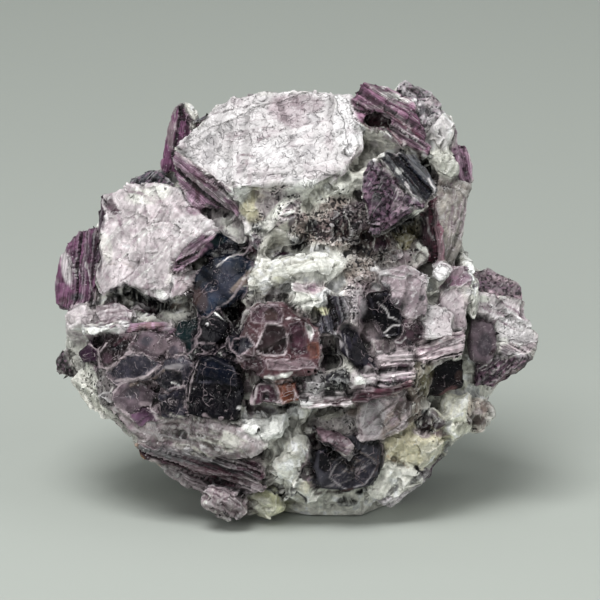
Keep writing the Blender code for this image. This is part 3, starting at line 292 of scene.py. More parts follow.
# Places where the feldspar changes colour:
# tone, u, v, half width, half height, strength, turn in degrees and how thickly it is peppered
# with dark mica; the last two may be left out.
ROCK_PATCHES = (
    ("albite_shade", -29.5, 18, 6, 7, 0.5, -45), ("albite_white", -30, 21, 3.6, 3.4, 0.7, -40),
    ("rose_white", -32.2, 30, 3.4, 3.2, 0.9, 0, 0.1), ("albite_white", -28.4, 29, 4.4, 1.2, 0.8, 8),
    ("deep_purple", -35.2, 33, 1.2, 1.2, 0.8, 0, 0.4),
    ("dull_mauve", -23, 22, 9, 7.4, 0.85, 0, 0.4), ("charcoal", -13.5, 24, 6.8, 8, 0.9, 0, 0.3),
    # Painted shadow: both night patches on the next line, in the undercut under the broad left
    # plate and in a crevice.
    ("night", -22.4, 33, 5.2, 1.5, 1, -12), ("night", -9.2, 31.3, 1.7, 1.6, 1),
    ("deep_purple", -6.6, 33.8, 1.5, 1.3, 0.9, 0, 0.5),
    ("rose_white", -12, 46, 4.6, 2.2, 0.8, -30, 0.1), ("silver", -10, 44.4, 2.6, 2.2, 0.7, 0, 0.1),
    ("cream", -6.4, 47.6, 2, 2.8, 0.9), ("lilac_grey", -2.4, 46.8, 3.2, 3.4, 0.8, 10, 0.6),
    ("charcoal", -5.9, 43.4, 1.3, 2.6, 0.7, 6, 0.9), ("purple", -6.6, 41.4, 1.5, 1.6, 0.8, 0, 0.5),
    # Painted shade: the night patches at u 2.2 and 5.8 near v 44.6 are black cavities.
    ("brown", 5, 44.8, 5.6, 4.4, 0.75, 10, 0.9), ("night", 2.2, 44.7, 0.9, 1.4, 0.9),
    ("night", 5.8, 44.5, 0.8, 1.3, 0.9, 10), ("night", 0, 41.8, 1.4, 1.1, 0.9, 0, 0.3),
    ("night", -2.4, 40, 0.9, 1.5, 0.9, 10, 0.2), ("quartz", 5, 49.8, 5.2, 1.5, 0.9, 32, 0.1),
    ("umber", 12.4, 42, 6.6, 2.7, 0.9, -8, 0.7), ("maroon", 12, 42.4, 2.2, 1, 0.7, -20, 0.3),
    ("olive", 16.6, 43.2, 1.5, 2.2, 0.8, 0, 0.4), ("night", 16, 44.9, 1.7, 1, 0.95, 35),
    ("albite_white", 2.4, 38.2, 6.4, 2.7, 1, 2), ("albite", -5.6, 36.2, 2.4, 3.2, 0.7, -30, 0.1),
    ("albite_white", 1.6, 33.4, 4.2, 2.6, 0.9, -10), ("mauve", 1.6, 35.2, 2.2, 0.9, 0.7, 5, 0.1),
    ("olive", 3.3, 31.9, 0.9, 0.7, 0.6, 0, 0.1), ("ash", -3.2, 34, 1.6, 1, 0.8, 20, 0.3),
    ("taupe", 9.8, 37.4, 2.4, 2.8, 0.85, 0, 0.5), ("ash_mauve", 9.2, 33, 2.6, 3.4, 0.8, 0, 0.6),
    ("charcoal", 6.4, 27.4, 1.4, 3, 0.85, 10, 0.4), ("plum", -2.6, 26, 7.8, 7.6, 0.7, 0, 0.1),
    ("pale_mauve", 3.8, 25.2, 1, 3, 0.9, 0, 0.1), ("rose_white", -2.4, 21.9, 3.6, 0.8, 0.9),
    ("ash", 2.4, 20.8, 2.4, 1.9, 0.8, 0, 0.4), ("charcoal", 6, 20.8, 2.4, 2.2, 0.9, 0, 0.8),
    ("rose_white", 9.8, 21.3, 2.2, 2.1, 0.9, 0, 0.1),
    ("lilac_grey", 15.6, 29, 7.6, 9.6, 0.8, 0, 0.3), ("albite", 20.4, 35.6, 0.9, 2.6, 0.9, 10),
    ("albite", 26, 33.6, 0.9, 5.6, 0.9, 6), ("albite_white", 26, 39.4, 1.5, 2.2, 0.9),
    ("albite", 26, 23, 0.9, 4.4, 0.9, -6), ("albite", -1, 10.6, 3.4, 6.2, 0.9, -4, 0.05),
    ("charcoal", -3.2, 4.7, 4.2, 0.5, 0.8, -4), ("shingle_mauve", -13, 10, 10, 5.2, 0.85, -12, 0.2),
    ("maroon", -16, 9.4, 8, 0.7, 0.8, -14, 0.2), ("straw", -4.5, 2.5, 3.2, 2.1, 0.9),
    ("grey_mauve", -11, 3, 4.4, 2.6, 0.9, -15, 0.2), ("ash_mauve", 8, 12.6, 6.6, 5.4, 0.7, 0, 0.3),
    ("deep_purple", 1.8, 12.6, 1, 1.8, 0.8, 20, 0.2), ("albite", 13.6, 6.2, 4.2, 3.4, 0.8, 0, 0.1),
    ("cream", 17.6, 11.6, 4.8, 3.6, 0.9, 18, 0.15),
    ("deep_purple", 19.6, 15.2, 2.2, 1.4, 0.85, -25, 0.4),
    ("taupe", 16.2, 17, 2.4, 3.8, 0.9, -25, 0.2), ("olive", 18.8, 21.6, 1.6, 3, 0.7, 0, 0.3),
    ("straw", 23.6, 16.4, 2.8, 4.2, 0.35, -22, 0.05), ("brown", 27.2, 16, 1.7, 2.6, 0.6, 0, 0.4),
    ("silver", 21, 58.6, 2.8, 3, 0.8, 0, 0.1), ("quartz", 21.8, 53.4, 2, 3.2, 0.9, 10),
    ("umber", 19.4, 52.6, 0.9, 3, 0.8, 32, 0.2), ("maroon", 12, 60, 2.8, 1.4, 0.95, -15, 0.1),
    ("rose_grey", 14.6, 62.6, 4, 2, 0.6, -20, 0.3), ("lilac_grey", 21, 46, 1.8, 7, 0.7, 0, 0.1),
)

# Spots seen on the front, on mica and feldspar alike, described like the patches above.
SPOTS = (
    # the silvery top face
    ("lilac_grey", -1.6, 62.2, 2.8, 2, 0.9), ("grey_mauve", 1.6, 62.8, 2.4, 1.3, 0.8, -10),
    ("lilac_grey", -0.2, 60.4, 2.2, 0.9, 0.7), ("ash", -13.4, 55.2, 1, 1.2, 0.6),
    ("ash", -13.2, 57.6, 0.9, 0.9, 0.5), ("ash_mauve", -9, 63.3, 1, 0.8, 0.6),
    ("ash", 1.9, 55.4, 1, 1.2, 0.6), ("grey_mauve", 1.6, 53.2, 0.6, 0.8, 0.5),
    ("graphite", -0.1, 51.4, 0.7, 0.4, 0.5), ("ash", 2.5, 60.6, 1.2, 0.9, 0.65, -30),
    ("lilac_grey", 4.8, 57, 0.6, 1.4, 0.5, 10), ("bright", 7.3, 59.6, 1.6, 3.6, 0.8),
    ("rose_white", 3.4, 52.4, 2.4, 1, 0.7, 15), ("bright", -4, 55.4, 3.6, 1.6, 0.6),
    ("bright", -11.4, 53.2, 1.8, 1.6, 0.6, -30), ("graphite", -14.6, 60.5, 1, 0.4, 0.9, 22),
    ("grey_mauve", -19.3, 59.4, 0.6, 3.6, 0.9, 4), ("coal", -17.2, 62.3, 0.5, 0.4, 0.8),
    # the laminated edge under it
    ("brown_mauve", -10.8, 47.2, 1.4, 0.7, 0.8, -25), ("mauve", -9.2, 47.3, 0.6, 0.4, 0.8, -20),
    ("ash", -11.4, 49, 0.8, 0.6, 0.8, -30), ("white", -9.8, 48.9, 0.8, 0.5, 0.9),
    ("mauve", -15.3, 47, 1.3, 0.9, 0.8), ("dull_mauve", -13.4, 46.8, 0.5, 0.9, 0.8),
    ("rose_grey", -17.4, 47.5, 0.6, 2.2, 0.7, -15),
    # the broad left plate
    ("silver", -17, 44.4, 2.6, 1.4, 0.7, 20), ("silver", -13.2, 44, 1.6, 1.1, 0.8, 10),
    ("albite_white", -10, 44.7, 1.7, 0.8, 0.9, -15), ("rose_grey", -11.3, 44.4, 0.4, 0.5, 0.6),
    ("albite_white", -22.2, 49, 3.2, 1.3, 0.8, 8), ("rose_white", -23, 45, 3.4, 2.6, 0.5),
    ("brown_mauve", -27.9, 47.5, 0.8, 1.4, 0.9, 25), ("brown_mauve", -27.2, 46.5, 0.7, 0.4, 0.9),
    ("night", -19.8, 49.8, 0.3, 0.3, 0.9), ("ash_mauve", -23.6, 39.6, 1.2, 0.8, 0.5),
    ("ash_mauve", -16.9, 40.8, 0.8, 0.7, 0.7), ("ash", -16.2, 42.4, 1, 0.4, 0.6),
    ("rose_white", -20.8, 41.5, 1.2, 2.2, 0.5), ("albite", -28.7, 41, 0.8, 2.2, 0.6, 8),
    ("grey_mauve", -22.3, 35.2, 0.9, 0.5, 0.7, 10), ("white", -20.2, 34, 1, 0.6, 0.8, -30),
    ("pale_mauve", -17.3, 35.8, 0.9, 1.4, 0.8, 10), ("bright", -16.7, 36.6, 0.2, 0.4, 0.9, -20),
    ("umber", -15.6, 33.6, 1.1, 2.2, 0.85, -15, 0.2), ("coal", -15, 35.6, 0.5, 0.9, 0.9, -40),
    ("bright", -17.7, 33.1, 0.3, 0.3, 1), ("bright", -17.5, 31.5, 0.6, 0.2, 0.9, 30),
    ("taupe", -18, 32.4, 0.9, 0.5, 0.7),
    # the far left book and the ridges below it
    ("silver", -34.4, 38.2, 0.8, 2.4, 0.7, 6), ("deep_purple", -30.2, 40.4, 0.7, 3, 0.8, 4),
    ("graphite", -33, 33.5, 1, 0.6, 0.8), ("wine_brown", -34.8, 33, 0.8, 0.6, 0.8),
    ("deep_purple", -29.3, 45.4, 0.4, 1.8, 0.8, 8), ("rose_white", -32.6, 30.8, 2, 1.6, 0.8),
    ("ash_mauve", -28.4, 30.9, 1.6, 0.8, 0.9, 12), ("dull_mauve", -27.1, 32.2, 0.8, 0.5, 0.8),
    ("albite_shade", -25.2, 33.2, 1.1, 0.5, 0.8, -15),
    ("wine_brown", -22.8, 32.3, 1, 0.7, 0.8, -20), ("silver", -24.6, 31.1, 1, 0.5, 0.9, -20),
    ("purple", -21.4, 31.1, 1.5, 0.4, 0.7, -8), ("white", -28.4, 28.7, 2.4, 0.5, 0.95, 8),
    ("bright", -26, 29.5, 0.9, 0.5, 0.9, 10),
    # scale-like cells
    ("deep_purple", -29.8, 27.2, 0.8, 0.6, 0.95, -10), ("deep_purple", -31.2, 25.3, 0.7, 0.9, 0.9),
    ("night", -26.9, 26.2, 1.1, 0.5, 0.95, 15), ("brown_mauve", -28.5, 24.5, 0.8, 0.8, 0.8, 40),
    ("slate", -24.2, 23.5, 2.4, 1.2, 0.7, 8), ("graphite", -22.5, 27.2, 1, 0.7, 0.8),
    ("grey_mauve", -20, 26.4, 2.2, 1.5, 0.5, 0, 0.2), ("slate", -18.6, 25.6, 0.7, 0.8, 0.7),
    ("ash", -18.6, 23.3, 1.6, 0.5, 0.7, 10, 0.3), ("night", -19.2, 20.6, 1.4, 1.2, 0.6),
    ("bark", -34.7, 22.8, 0.8, 1.6, 0.9, 30), ("night", -19.2, 17.4, 1.6, 1.4, 0.7),
    ("graphite", -24.8, 19.2, 1, 0.7, 0.7), ("purple", -23, 16.6, 1.3, 0.6, 0.7, -10),
    ("lilac_grey", -22.8, 17.8, 1.1, 0.4, 0.6), ("rose_white", -21.2, 16.6, 0.4, 1.4, 0.8, 20),
    # night-dark plates
    ("night_green", -16.4, 29.3, 1.2, 0.9, 0.95), ("night", -12.6, 29.4, 1.8, 1.3, 1),
    ("bright", -13.3, 29.8, 0.2, 0.2, 1), ("night_blue", -9.7, 27.2, 1, 1.1, 0.9),
    ("night", -12.4, 20.6, 3.2, 3.4, 1), ("night_blue", -12.6, 24.2, 2.4, 1, 0.8, -20),
    ("slate", -11.4, 36.2, 2.2, 2.4, 0.5), ("night", -10.8, 40.9, 1.5, 0.8, 1, 20),
    ("night_green", -11.9, 42.1, 1.2, 0.7, 0.9), ("night", -13.2, 38.9, 1, 1, 0.9),
    # Painted shade: the night spot at u -9.6, v 31.2 blackens a crevice.
    ("night", -9.6, 31.2, 1.6, 1, 0.95, -20), ("grey_mauve", -8.2, 25.6, 0.9, 0.6, 0.6, 0, 0.2),
    ("umber", -14, 33.2, 0.8, 1.6, 0.6), ("night", -12.6, 26.4, 3.4, 1.7, 0.95, -15),
    ("night_blue", -11, 25, 1.6, 0.8, 0.8, -25), ("coal", -14.8, 27.8, 0.9, 1, 0.8),
    ("dark_slate", -9, 28.8, 1, 1, 0.8),
    # plum and amber books
    ("brown_mauve", -3.6, 32.7, 0.9, 0.5, 0.7), ("dark_plum", 0, 27.6, 1.2, 2.2, 0.8),
    ("lilac_grey", 3.8, 25.2, 0.5, 2.8, 0.9), ("dark_plum", -4.6, 19.2, 1.5, 1.4, 0.9),
    ("umber", -4.8, 20.1, 0.6, 0.4, 0.7), ("brown_mauve", -4.8, 16.8, 1.8, 0.4, 0.8),
    ("night", -1.3, 17.4, 1.4, 0.35, 0.95, 15), ("bright", 1.3, 18.1, 1.3, 0.6, 0.9),
    ("ash", 2.9, 19.9, 1.3, 1.1, 0.8, 0, 0.35), ("brown_mauve", 0.8, 20.6, 0.7, 1, 0.8, 20),
    # Painted glint: the small bright spot at u -8.5, v 17.
    ("lilac_grey", -7.2, 18.6, 0.8, 2.6, 0.9), ("bright", -8.5, 17, 0.4, 0.2, 1, 20),
    ("wine_brown", -16, 8.7, 5.6, 0.45, 0.85, -18), ("maroon", -13, 6.3, 5, 0.4, 0.85, -18),
    ("umber", -19.2, 12.7, 1.8, 0.6, 0.85, -15), ("umber", -12.6, 11.3, 1.8, 0.45, 0.85, -22),
    ("coal", -17, 9.6, 3.4, 0.25, 0.9, -16), ("albite_shade", -15.5, 10.6, 3, 0.5, 0.8, -18),
    ("ash", -18.5, 7.6, 2.6, 0.4, 0.7, -30), ("albite", -10.5, 12.6, 2.4, 0.9, 0.7, -20),
    # white feldspar and the pillar
    ("white", -4.9, 14.2, 3.3, 1.8, 1, -8), ("albite_shade", 1.2, 14, 0.6, 2.4, 0.7),
    ("albite_shade", -3.6, 9.4, 1.6, 1.4, 0.5, -30), ("olive", -1.2, 3.2, 2.2, 0.7, 0.5),
    ("albite", -4.8, 2.2, 2.2, 1.4, 0.5, -15),
    # the dark middle right
    ("coal", 5.2, 25.4, 1, 1.6, 0.75, 0, 0.5), ("ash", 6.2, 27.4, 0.6, 1.4, 0.7, 10, 0.3),
    ("night", 9.4, 26, 1.3, 2.8, 0.9, -30), ("night", 8, 28.6, 1.1, 0.8, 0.95),
    ("lilac_grey", 11.3, 28.5, 1.8, 1.4, 0.8), ("graphite", 12, 27.4, 0.5, 0.4, 0.7),
    ("grey_mauve", 12.2, 26.2, 1.2, 0.7, 0.8), ("white", 9.7, 21.2, 0.9, 0.9, 1, -30),
    ("rose_white", 11, 22, 1.1, 1.4, 0.9), ("night", 6.6, 20.9, 1.7, 1.3, 0.9, 0, 0.3),
    ("night", 4.8, 19.2, 0.8, 0.7, 0.95), ("slate", 4.9, 21.4, 0.8, 0.7, 0.7, 0, 0.3),
    ("lilac_grey", 9.8, 19.7, 1.9, 0.6, 0.8, 15), ("maroon", 9.9, 18.9, 0.7, 0.3, 0.8),
    ("pale_mauve", 14.2, 24, 2.2, 0.7, 0.8), ("rose_white", 13.6, 22, 1.8, 1, 0.8, 10),
    ("umber", 15, 20.9, 1.2, 0.5, 0.7, 0, 0.2), ("taupe", 8.8, 17, 2, 0.7, 0.8, 20, 0.2),
    ("albite_shade", 4.6, 16.2, 2.2, 0.8, 0.8, 0, 0.05),
    ("silver", 7.4, 14.8, 1, 0.7, 0.7, -30, 0.3), ("ash", 11.4, 15.6, 2, 3.2, 0.8, -10),
    ("taupe", 14.2, 14.8, 1.1, 2.8, 0.8, -28), ("umber", 15.8, 17.6, 0.9, 2, 0.8, -28),
    # below: lip plate, charcoal book
    ("dark_plum", 2.8, 12.6, 0.7, 0.6, 1), ("night", 4.6, 11.2, 1.5, 0.7, 1, -28),
    ("grey_mauve", 1.4, 7.4, 0.9, 1.3, 0.8, 0, 0.5), ("cream", 1.4, 5.2, 0.9, 0.8, 0.5),
    ("coal", 7.4, 3.2, 1.4, 0.6, 0.9),
    # cream lump with its purple cluster, green plate
    ("cream", 16.4, 11.2, 2.8, 2.4, 0.8, 20), ("rose_grey", 18.2, 13.8, 1.1, 0.6, 0.8, 0, 0.2),
    ("dark_plum", 19.4, 14.3, 0.9, 0.7, 1), ("purple_brown", 21.4, 14.8, 1.1, 0.7, 0.95),
    ("brown_mauve", 20.7, 16, 0.7, 0.5, 0.8), ("night", 18.8, 16.4, 0.4, 0.4, 0.9),
    ("night", 18.3, 15, 0.5, 0.4, 0.8), ("mauve", 21.6, 13.3, 1, 0.5, 0.7),
    ("lilac_grey", 19.2, 13.1, 0.9, 0.4, 0.8), ("albite_shade", 20.2, 10.8, 1.8, 1, 0.6, 35),
    ("charcoal", 21.6, 9.5, 1, 0.5, 0.8, 30), ("graphite", 22.6, 11.4, 0.5, 1, 0.7, -10),
    ("night", 17.7, 6.5, 1.1, 0.4, 0.9, 50), ("coal", 14.4, 4.6, 1.2, 0.4, 0.8, 35),
    ("umber", 27, 15.5, 1.2, 0.7, 0.8, 0, 0.2), ("brown", 28.2, 17.5, 0.8, 0.9, 0.6, 0, 0.1),
    ("rose_grey", 27.2, 16.7, 0.8, 0.5, 0.5),
    # the right side
    ("night", 22.8, 22.6, 1.9, 1.9, 0.95, 10), ("umber", 24.3, 22, 0.5, 0.8, 0.7),
    ("brick", 22.6, 19.5, 1.5, 0.4, 0.5, 25), ("olive", 19.5, 21.8, 0.9, 2, 0.7, -15, 0.1),
    ("rose_white", 21.6, 29.3, 1.9, 1.5, 0.8), ("bright", 20, 30, 0.6, 0.5, 0.8),
    ("rose_white", 22.8, 26.9, 1.9, 0.5, 0.8, 20), ("charcoal", 28.2, 26.4, 1.2, 1.8, 0.8),
    ("dark_plum", 29.4, 25.5, 0.3, 0.8, 0.9, -35), ("albite_white", 31, 26.9, 0.9, 0.6, 0.8),
    ("graphite", 31.4, 25.2, 1.3, 0.6, 0.7, 10, 0.4), ("deep_purple", 29.6, 22.3, 2.2, 0.9, 1, 25),
    ("purple_brown", 31.8, 23.5, 1.3, 0.5, 0.9, 30), ("silver", 34.4, 28.6, 1.3, 0.9, 0.8, -30),
    ("ash_mauve", 34.8, 26.3, 0.9, 0.5, 0.8), ("dull_mauve", 29.8, 35.3, 2.6, 0.7, 0.8, -5, 0.3),
    ("purple", 27.2, 35.5, 0.8, 0.4, 0.8), ("deep_purple", 33.3, 34.8, 0.6, 0.8, 0.8, -30),
    ("albite_white", 27.6, 33.4, 1.2, 0.5, 0.9), ("lilac_grey", 16.2, 36.6, 2.4, 2, 0.7),
    ("graphite", 13.4, 35.6, 0.7, 0.4, 0.8, -20), ("charcoal", 18.9, 33.4, 0.6, 0.5, 0.8),
    ("grey_mauve", 16.2, 39.7, 0.9, 0.7, 0.8), ("night", 14.6, 32.6, 1.5, 1.1, 0.95, -10),
    ("night", 13.1, 31, 1.3, 1.3, 0.9), ("night", 14.9, 28.4, 1.2, 0.8, 1),
    ("dull_mauve", 14.8, 33.6, 1.2, 0.4, 0.8), ("bark", 17.2, 29, 0.9, 0.5, 0.8, -20),
    ("graphite", 16.9, 26.8, 0.8, 0.4, 0.7, -30), ("coal", 18, 28, 0.8, 0.3, 0.8),
    ("albite", 20.5, 35.2, 0.6, 2, 0.9, 5), ("umber", 22.6, 36, 0.8, 0.4, 0.8, 25),
    ("grey_mauve", 23.9, 37.8, 1.3, 1, 0.8), ("dull_mauve", 22.3, 35.1, 0.6, 0.7, 0.8),
    ("rose_white", 23.6, 32.8, 1.4, 2, 0.6, 10), ("bright", 21.7, 37.8, 1.3, 0.9, 1, 20),
    ("white", 25.9, 39.4, 0.9, 1.8, 0.9, 25),
    # the hollow, the mottled book and the red streaks beside it
    ("bark", 10.4, 43, 1.2, 0.8, 0.85, -20, 0.2), ("olive", 16.3, 43.3, 1, 1.1, 0.8, 30, 0.1),
    ("night", 16.7, 45.5, 1.3, 0.5, 1, 25), ("night", 14.9, 43.9, 0.8, 0.4, 0.9),
    ("coal", 18.8, 45, 0.5, 1.1, 0.9), ("wine_brown", 19.1, 43.4, 0.6, 1.3, 0.9),
    ("maroon", 20.8, 45.8, 0.4, 1.5, 0.9), ("wine", 21.2, 43.6, 0.3, 0.9, 0.8),
    ("albite_white", 18.6, 41, 0.9, 0.4, 0.8, -35), ("wine_brown", 20.4, 38.9, 0.8, 0.5, 0.8),
    ("rose_grey", 16.4, 40.5, 1.4, 0.5, 0.6), ("purple_brown", 12.4, 41.4, 1.4, 0.7, 0.8, 0, 0.2),
    ("mauve", 13.4, 45, 1.5, 0.8, 0.5), ("deep_purple", 12.6, 46.3, 1.3, 1.1, 0.85),
    ("night", 12.3, 49.2, 0.9, 1.3, 0.85, 20), ("ash_mauve", 15.2, 47.4, 1.3, 0.9, 0.6),
    ("rose_grey", 15.5, 49.7, 0.6, 1, 0.5, 20), ("white", 15.1, 52.9, 0.4, 0.6, 0.5, 30),
    ("night", 14.6, 54.6, 0.6, 0.5, 0.9, -40), ("rose_white", 15, 55.6, 0.6, 0.7, 0.8, -30),
    ("white", 12.4, 55.3, 0.6, 0.4, 0.8, -20), ("silver", 11.5, 56.9, 0.7, 0.5, 0.8, -40),
    ("purple_brown", 12.4, 53.6, 0.8, 0.5, 0.8), ("purple_brown", 14.6, 51.2, 1.1, 0.7, 0.7, -35),
    ("night", 12.1, 50.8, 0.8, 0.5, 0.8), ("albite_shade", 9.2, 53.2, 1, 1.3, 0.8, -45),
    ("albite", 11.2, 54.8, 1, 0.7, 0.7, 0, 0.1),
    # the crown
    ("edge_purple", 9.7, 65, 1, 0.8, 0.6), ("dark_plum", 17.4, 65, 1.2, 0.4, 0.9, -15),
    ("coal", 18.1, 64.2, 0.4, 0.5, 0.9), ("bright", 17.4, 63.4, 0.6, 0.3, 0.9),
    ("graphite", 18.9, 61.8, 0.5, 0.8, 0.8, 0, 0.3), ("rose_white", 19.6, 62.7, 0.6, 0.9, 0.7, 10),
    ("grey_mauve", 20.7, 63.1, 0.6, 0.9, 0.8, 20), ("graphite", 20.7, 60.9, 0.7, 0.3, 0.8, -20),
    ("silver", 21.4, 59.2, 1.3, 1.5, 0.9), ("night", 18.8, 53.8, 0.6, 1.2, 0.95, 30),
    ("bark", 19.7, 53, 0.5, 0.8, 0.9, 20), ("umber", 21.4, 50.8, 1.4, 0.4, 0.9, -35),
    ("umber", 22.6, 49.9, 1.2, 0.6, 0.6, -30), ("quartz", 22, 53.6, 1.5, 2, 0.7),
    # cream and speckled rock under the top face
    ("dull_mauve", 9.2, 46, 2.2, 1.9, 0.75, 0, 0.8),
    ("purple_brown", 6.4, 45.6, 1.8, 1.3, 0.6, 20, 0.8),
    ("dark_plum", 7.6, 43, 1.1, 0.9, 0.8, 0, 0.4),
    ("brown_mauve", 4.2, 43.6, 1.9, 1.6, 0.6, 0, 0.9), ("purple", 10.2, 47.8, 1, 0.8, 0.6, 0, 0.1),
    ("taupe_rose", 3.2, 46.4, 1.6, 0.9, 0.6, 25, 0.8), ("white", -8.6, 49.4, 1.8, 1.2, 0.95),
    ("cream", -7.3, 47, 1.4, 1.1, 0.85), ("rose_grey", -4.9, 49.2, 1.2, 0.5, 0.7),
    ("rose_white", -1.4, 49, 1.6, 0.9, 0.8, 0, 0.4),
    ("dull_mauve", -1, 47.4, 0.9, 0.4, 0.9, 0, 0.2), ("white", -1.2, 46.3, 0.8, 0.4, 0.9),
    ("rose_white", -4.6, 47.4, 1.6, 1.4, 0.8, 0, 0.1), ("white", 0.6, 50.2, 2.6, 0.8, 0.9, 20),
    ("rose_grey", -9, 44.8, 0.7, 0.9, 0.7, 0, 0.1), ("albite_white", -9.4, 43.6, 1, 0.6, 0.9, -20),
    ("coal", -5.7, 44.2, 0.6, 0.4, 0.9), ("bright", -6.8, 43, 0.25, 1, 0.9, 10),
    ("maroon", -7, 40.7, 0.7, 0.7, 0.85, 0, 0.1), ("night", -6.2, 41.3, 0.35, 0.5, 0.95),
    ("albite_shade", -3.2, 42.6, 3.4, 0.9, 0.8, 45),
    ("albite_white", -3.6, 45.6, 2, 1, 0.7, 60, 0.1),
    ("purple_brown", -0.9, 44.8, 0.4, 1.1, 0.85, -20),
    ("night", -0.2, 41.8, 0.9, 0.6, 0.95, 0, 0.2),
    ("purple_brown", -2.4, 40.1, 1.2, 0.6, 1, 25, 0.2),
    # Painted shade: the three night spots at u 2.2 to 5.8 near v 44 are black cavities.
    ("night", 2.2, 44.8, 0.7, 0.8, 0.85, 0, 0.3), ("night", 5.8, 44.8, 0.6, 0.4, 0.95),
    ("night", 5.5, 43.6, 0.35, 0.9, 0.9), ("albite_shade", 2.2, 48.2, 2.8, 0.7, 0.85, 45),
    ("albite_white", 1.6, 49.5, 1.6, 0.6, 0.9, 40), ("quartz", 8.2, 49.2, 1, 0.9, 0.8, 0, 0.1),
    ("mauve", 10, 49.2, 0.8, 0.7, 0.6, 0, 0.2), ("umber", 9, 43.4, 1.4, 0.9, 0.8, 0, 0.3),
    ("taupe_rose", 6.6, 40.7, 1, 0.5, 0.8, -10, 0.1), ("bark", 12.6, 39.4, 1.1, 0.35, 0.95, 8),
    ("bright", 11.9, 38.3, 0.7, 0.4, 0.95), ("silver", 13, 37.5, 0.9, 0.5, 0.8),
    ("bright", 11.8, 35.2, 0.8, 0.5, 0.9, -20), ("albite_white", 3.4, 38.4, 4.2, 1.4, 0.8),
    ("albite", -1.6, 36.9, 2.4, 0.7, 0.8, 10), ("straw", -2.6, 36.5, 1, 0.4, 0.6),
    ("olive", -6.5, 37.2, 0.9, 0.5, 0.6, 10, 0.1), ("taupe", -8.4, 35.8, 2, 0.5, 0.8, 42),
    ("night", -6.5, 34.5, 1, 0.35, 0.9, 15), ("albite_shade", -6.4, 36, 1.4, 0.6, 0.7, 30),
    ("silver", -3.2, 34.6, 1.4, 0.5, 0.8), ("white", -1.2, 35, 0.6, 0.8, 0.9, -20),
    ("rose_grey", 0.6, 34.9, 0.6, 0.6, 0.8), ("mauve", 2.3, 35, 0.8, 0.5, 0.8),
    ("pale_mauve", 3.8, 35.6, 0.9, 0.4, 0.7), ("albite_white", 1.4, 33.2, 2.4, 0.8, 0.9),
    ("straw", 3.8, 31.8, 1.1, 0.5, 0.7), ("coal", 5, 32.5, 0.5, 0.4, 0.8, 0, 0.2),
    ("ash", 8.6, 33, 1.8, 2.4, 0.6, 0, 0.5), ("charcoal", 1.6, 31, 0.9, 0.4, 0.7, -20),
)

# Angular cells seen on the front: tone, tone of the rim, half width of the rim, strength and
# outline (u, v).
CELLS = (
    ("bark", "rose_grey", 0.13, 0.9,
     ((-5.6, 27.4), (-6.3, 25.8), (-4.7, 24.9), (-1.8, 25), (-1.3, 26.4), (-1.8, 29.4),
      (-4.6, 29.8))),
    ("brown_mauve", "ash_mauve", 0.1, 0.6,
     ((-6.9, 30), (-7.3, 31.6), (-5.8, 33), (-3, 32.7), (-2, 31.4), (-2.4, 29.9), (-5, 29.8))),
    ("umber", "brown_mauve", 0.1, 0.85,
     ((-4.9, 30.2), (-5, 31.6), (-3.6, 32.3), (-2.6, 31.2), (-3, 30))),
    ("wine_brown", "brown_mauve", 0.1, 0.7,
     ((-1.1, 26), (-1.3, 29.6), (0.4, 30.2), (1.3, 28.2), (1.5, 25.4), (0.3, 24.8))),
    ("dark_plum", "brown_mauve", 0.1, 0.85,
     ((-8.4, 25.2), (-6.4, 25), (-4.9, 24), (-5, 22.2), (-7.2, 22.2))),
    ("grey_mauve", "lilac_grey", 0.1, 0.6,
     ((-4.6, 24.2), (1.6, 24.6), (3, 23.2), (-0.6, 22.8), (-4.4, 22.9))),
    ("glow", "amber", 0.2, 0.75, ((1.7, 27), (3, 26.8), (3.3, 24.7), (1.8, 24.4))),
    ("white", "rose_white", 0.1, 0.9,
     ((1.2, 30), (2.1, 29.8), (2.5, 28.4), (2.2, 27.2), (1.6, 28.4))),
    ("wine_brown", "rose_grey", 0.13, 0.95, ((-5.9, 20.6), (-3.9, 20.7), (-2.6, 18), (-6.4, 17.5))),
    ("night", "dark_plum", 0.2, 0.9, ((-5.2, 19.4), (-4.4, 19.5), (-4, 18.3), (-5.3, 18.2))),
    ("amber", "rose_grey", 0.12, 0.95,
     ((-3.3, 20.9), (-0.9, 21.1), (-0.2, 19.2), (-0.5, 17.9), (-2.3, 18))),
    ("brown_mauve", "rose_grey", 0.1, 0.8, ((-0.5, 21), (1, 20.4), (0.9, 19.2), (0.1, 18.6))),
    ("night", "ash_mauve", 0.1, 0.75,
     ((-21.9, 21.2), (-19.9, 23.2), (-17.3, 22.6), (-17, 20.4), (-19.6, 19.8))),
    ("night_blue", "lilac_grey", 0.1, 0.9,
     ((-9.9, 25.9), (-9.6, 27.5), (-7.3, 27.9), (-6.4, 26.6), (-8.2, 24.8))),
    ("night_blue", "slate", 0.12, 0.85,
     ((-15.2, 21), (-14.4, 24), (-12.6, 24.6), (-9.6, 23), (-9, 20.6))),
    ("night", "dark_slate", 0.15, 0.95,
     ((11.2, 33.6), (13.6, 34.2), (15.6, 31), (15.2, 28), (12.6, 27.8), (11.6, 30.8))),
    ("bright", "umber", 0.1, 1, ((20.5, 37.7), (21.4, 38.6), (22.9, 38), (22.2, 36.9))),
    ("night", "slate", 0.12, 0.9, ((3.2, 10.2), (5.6, 11.2), (6.2, 9.8), (4.4, 7), (3.2, 8))),
    ("slate", "ash", 0.1, 0.75,
     ((4.8, 6.6), (6.6, 9.9), (10.2, 10.4), (12, 8.4), (10.2, 5.6), (7.2, 4.9))),
)

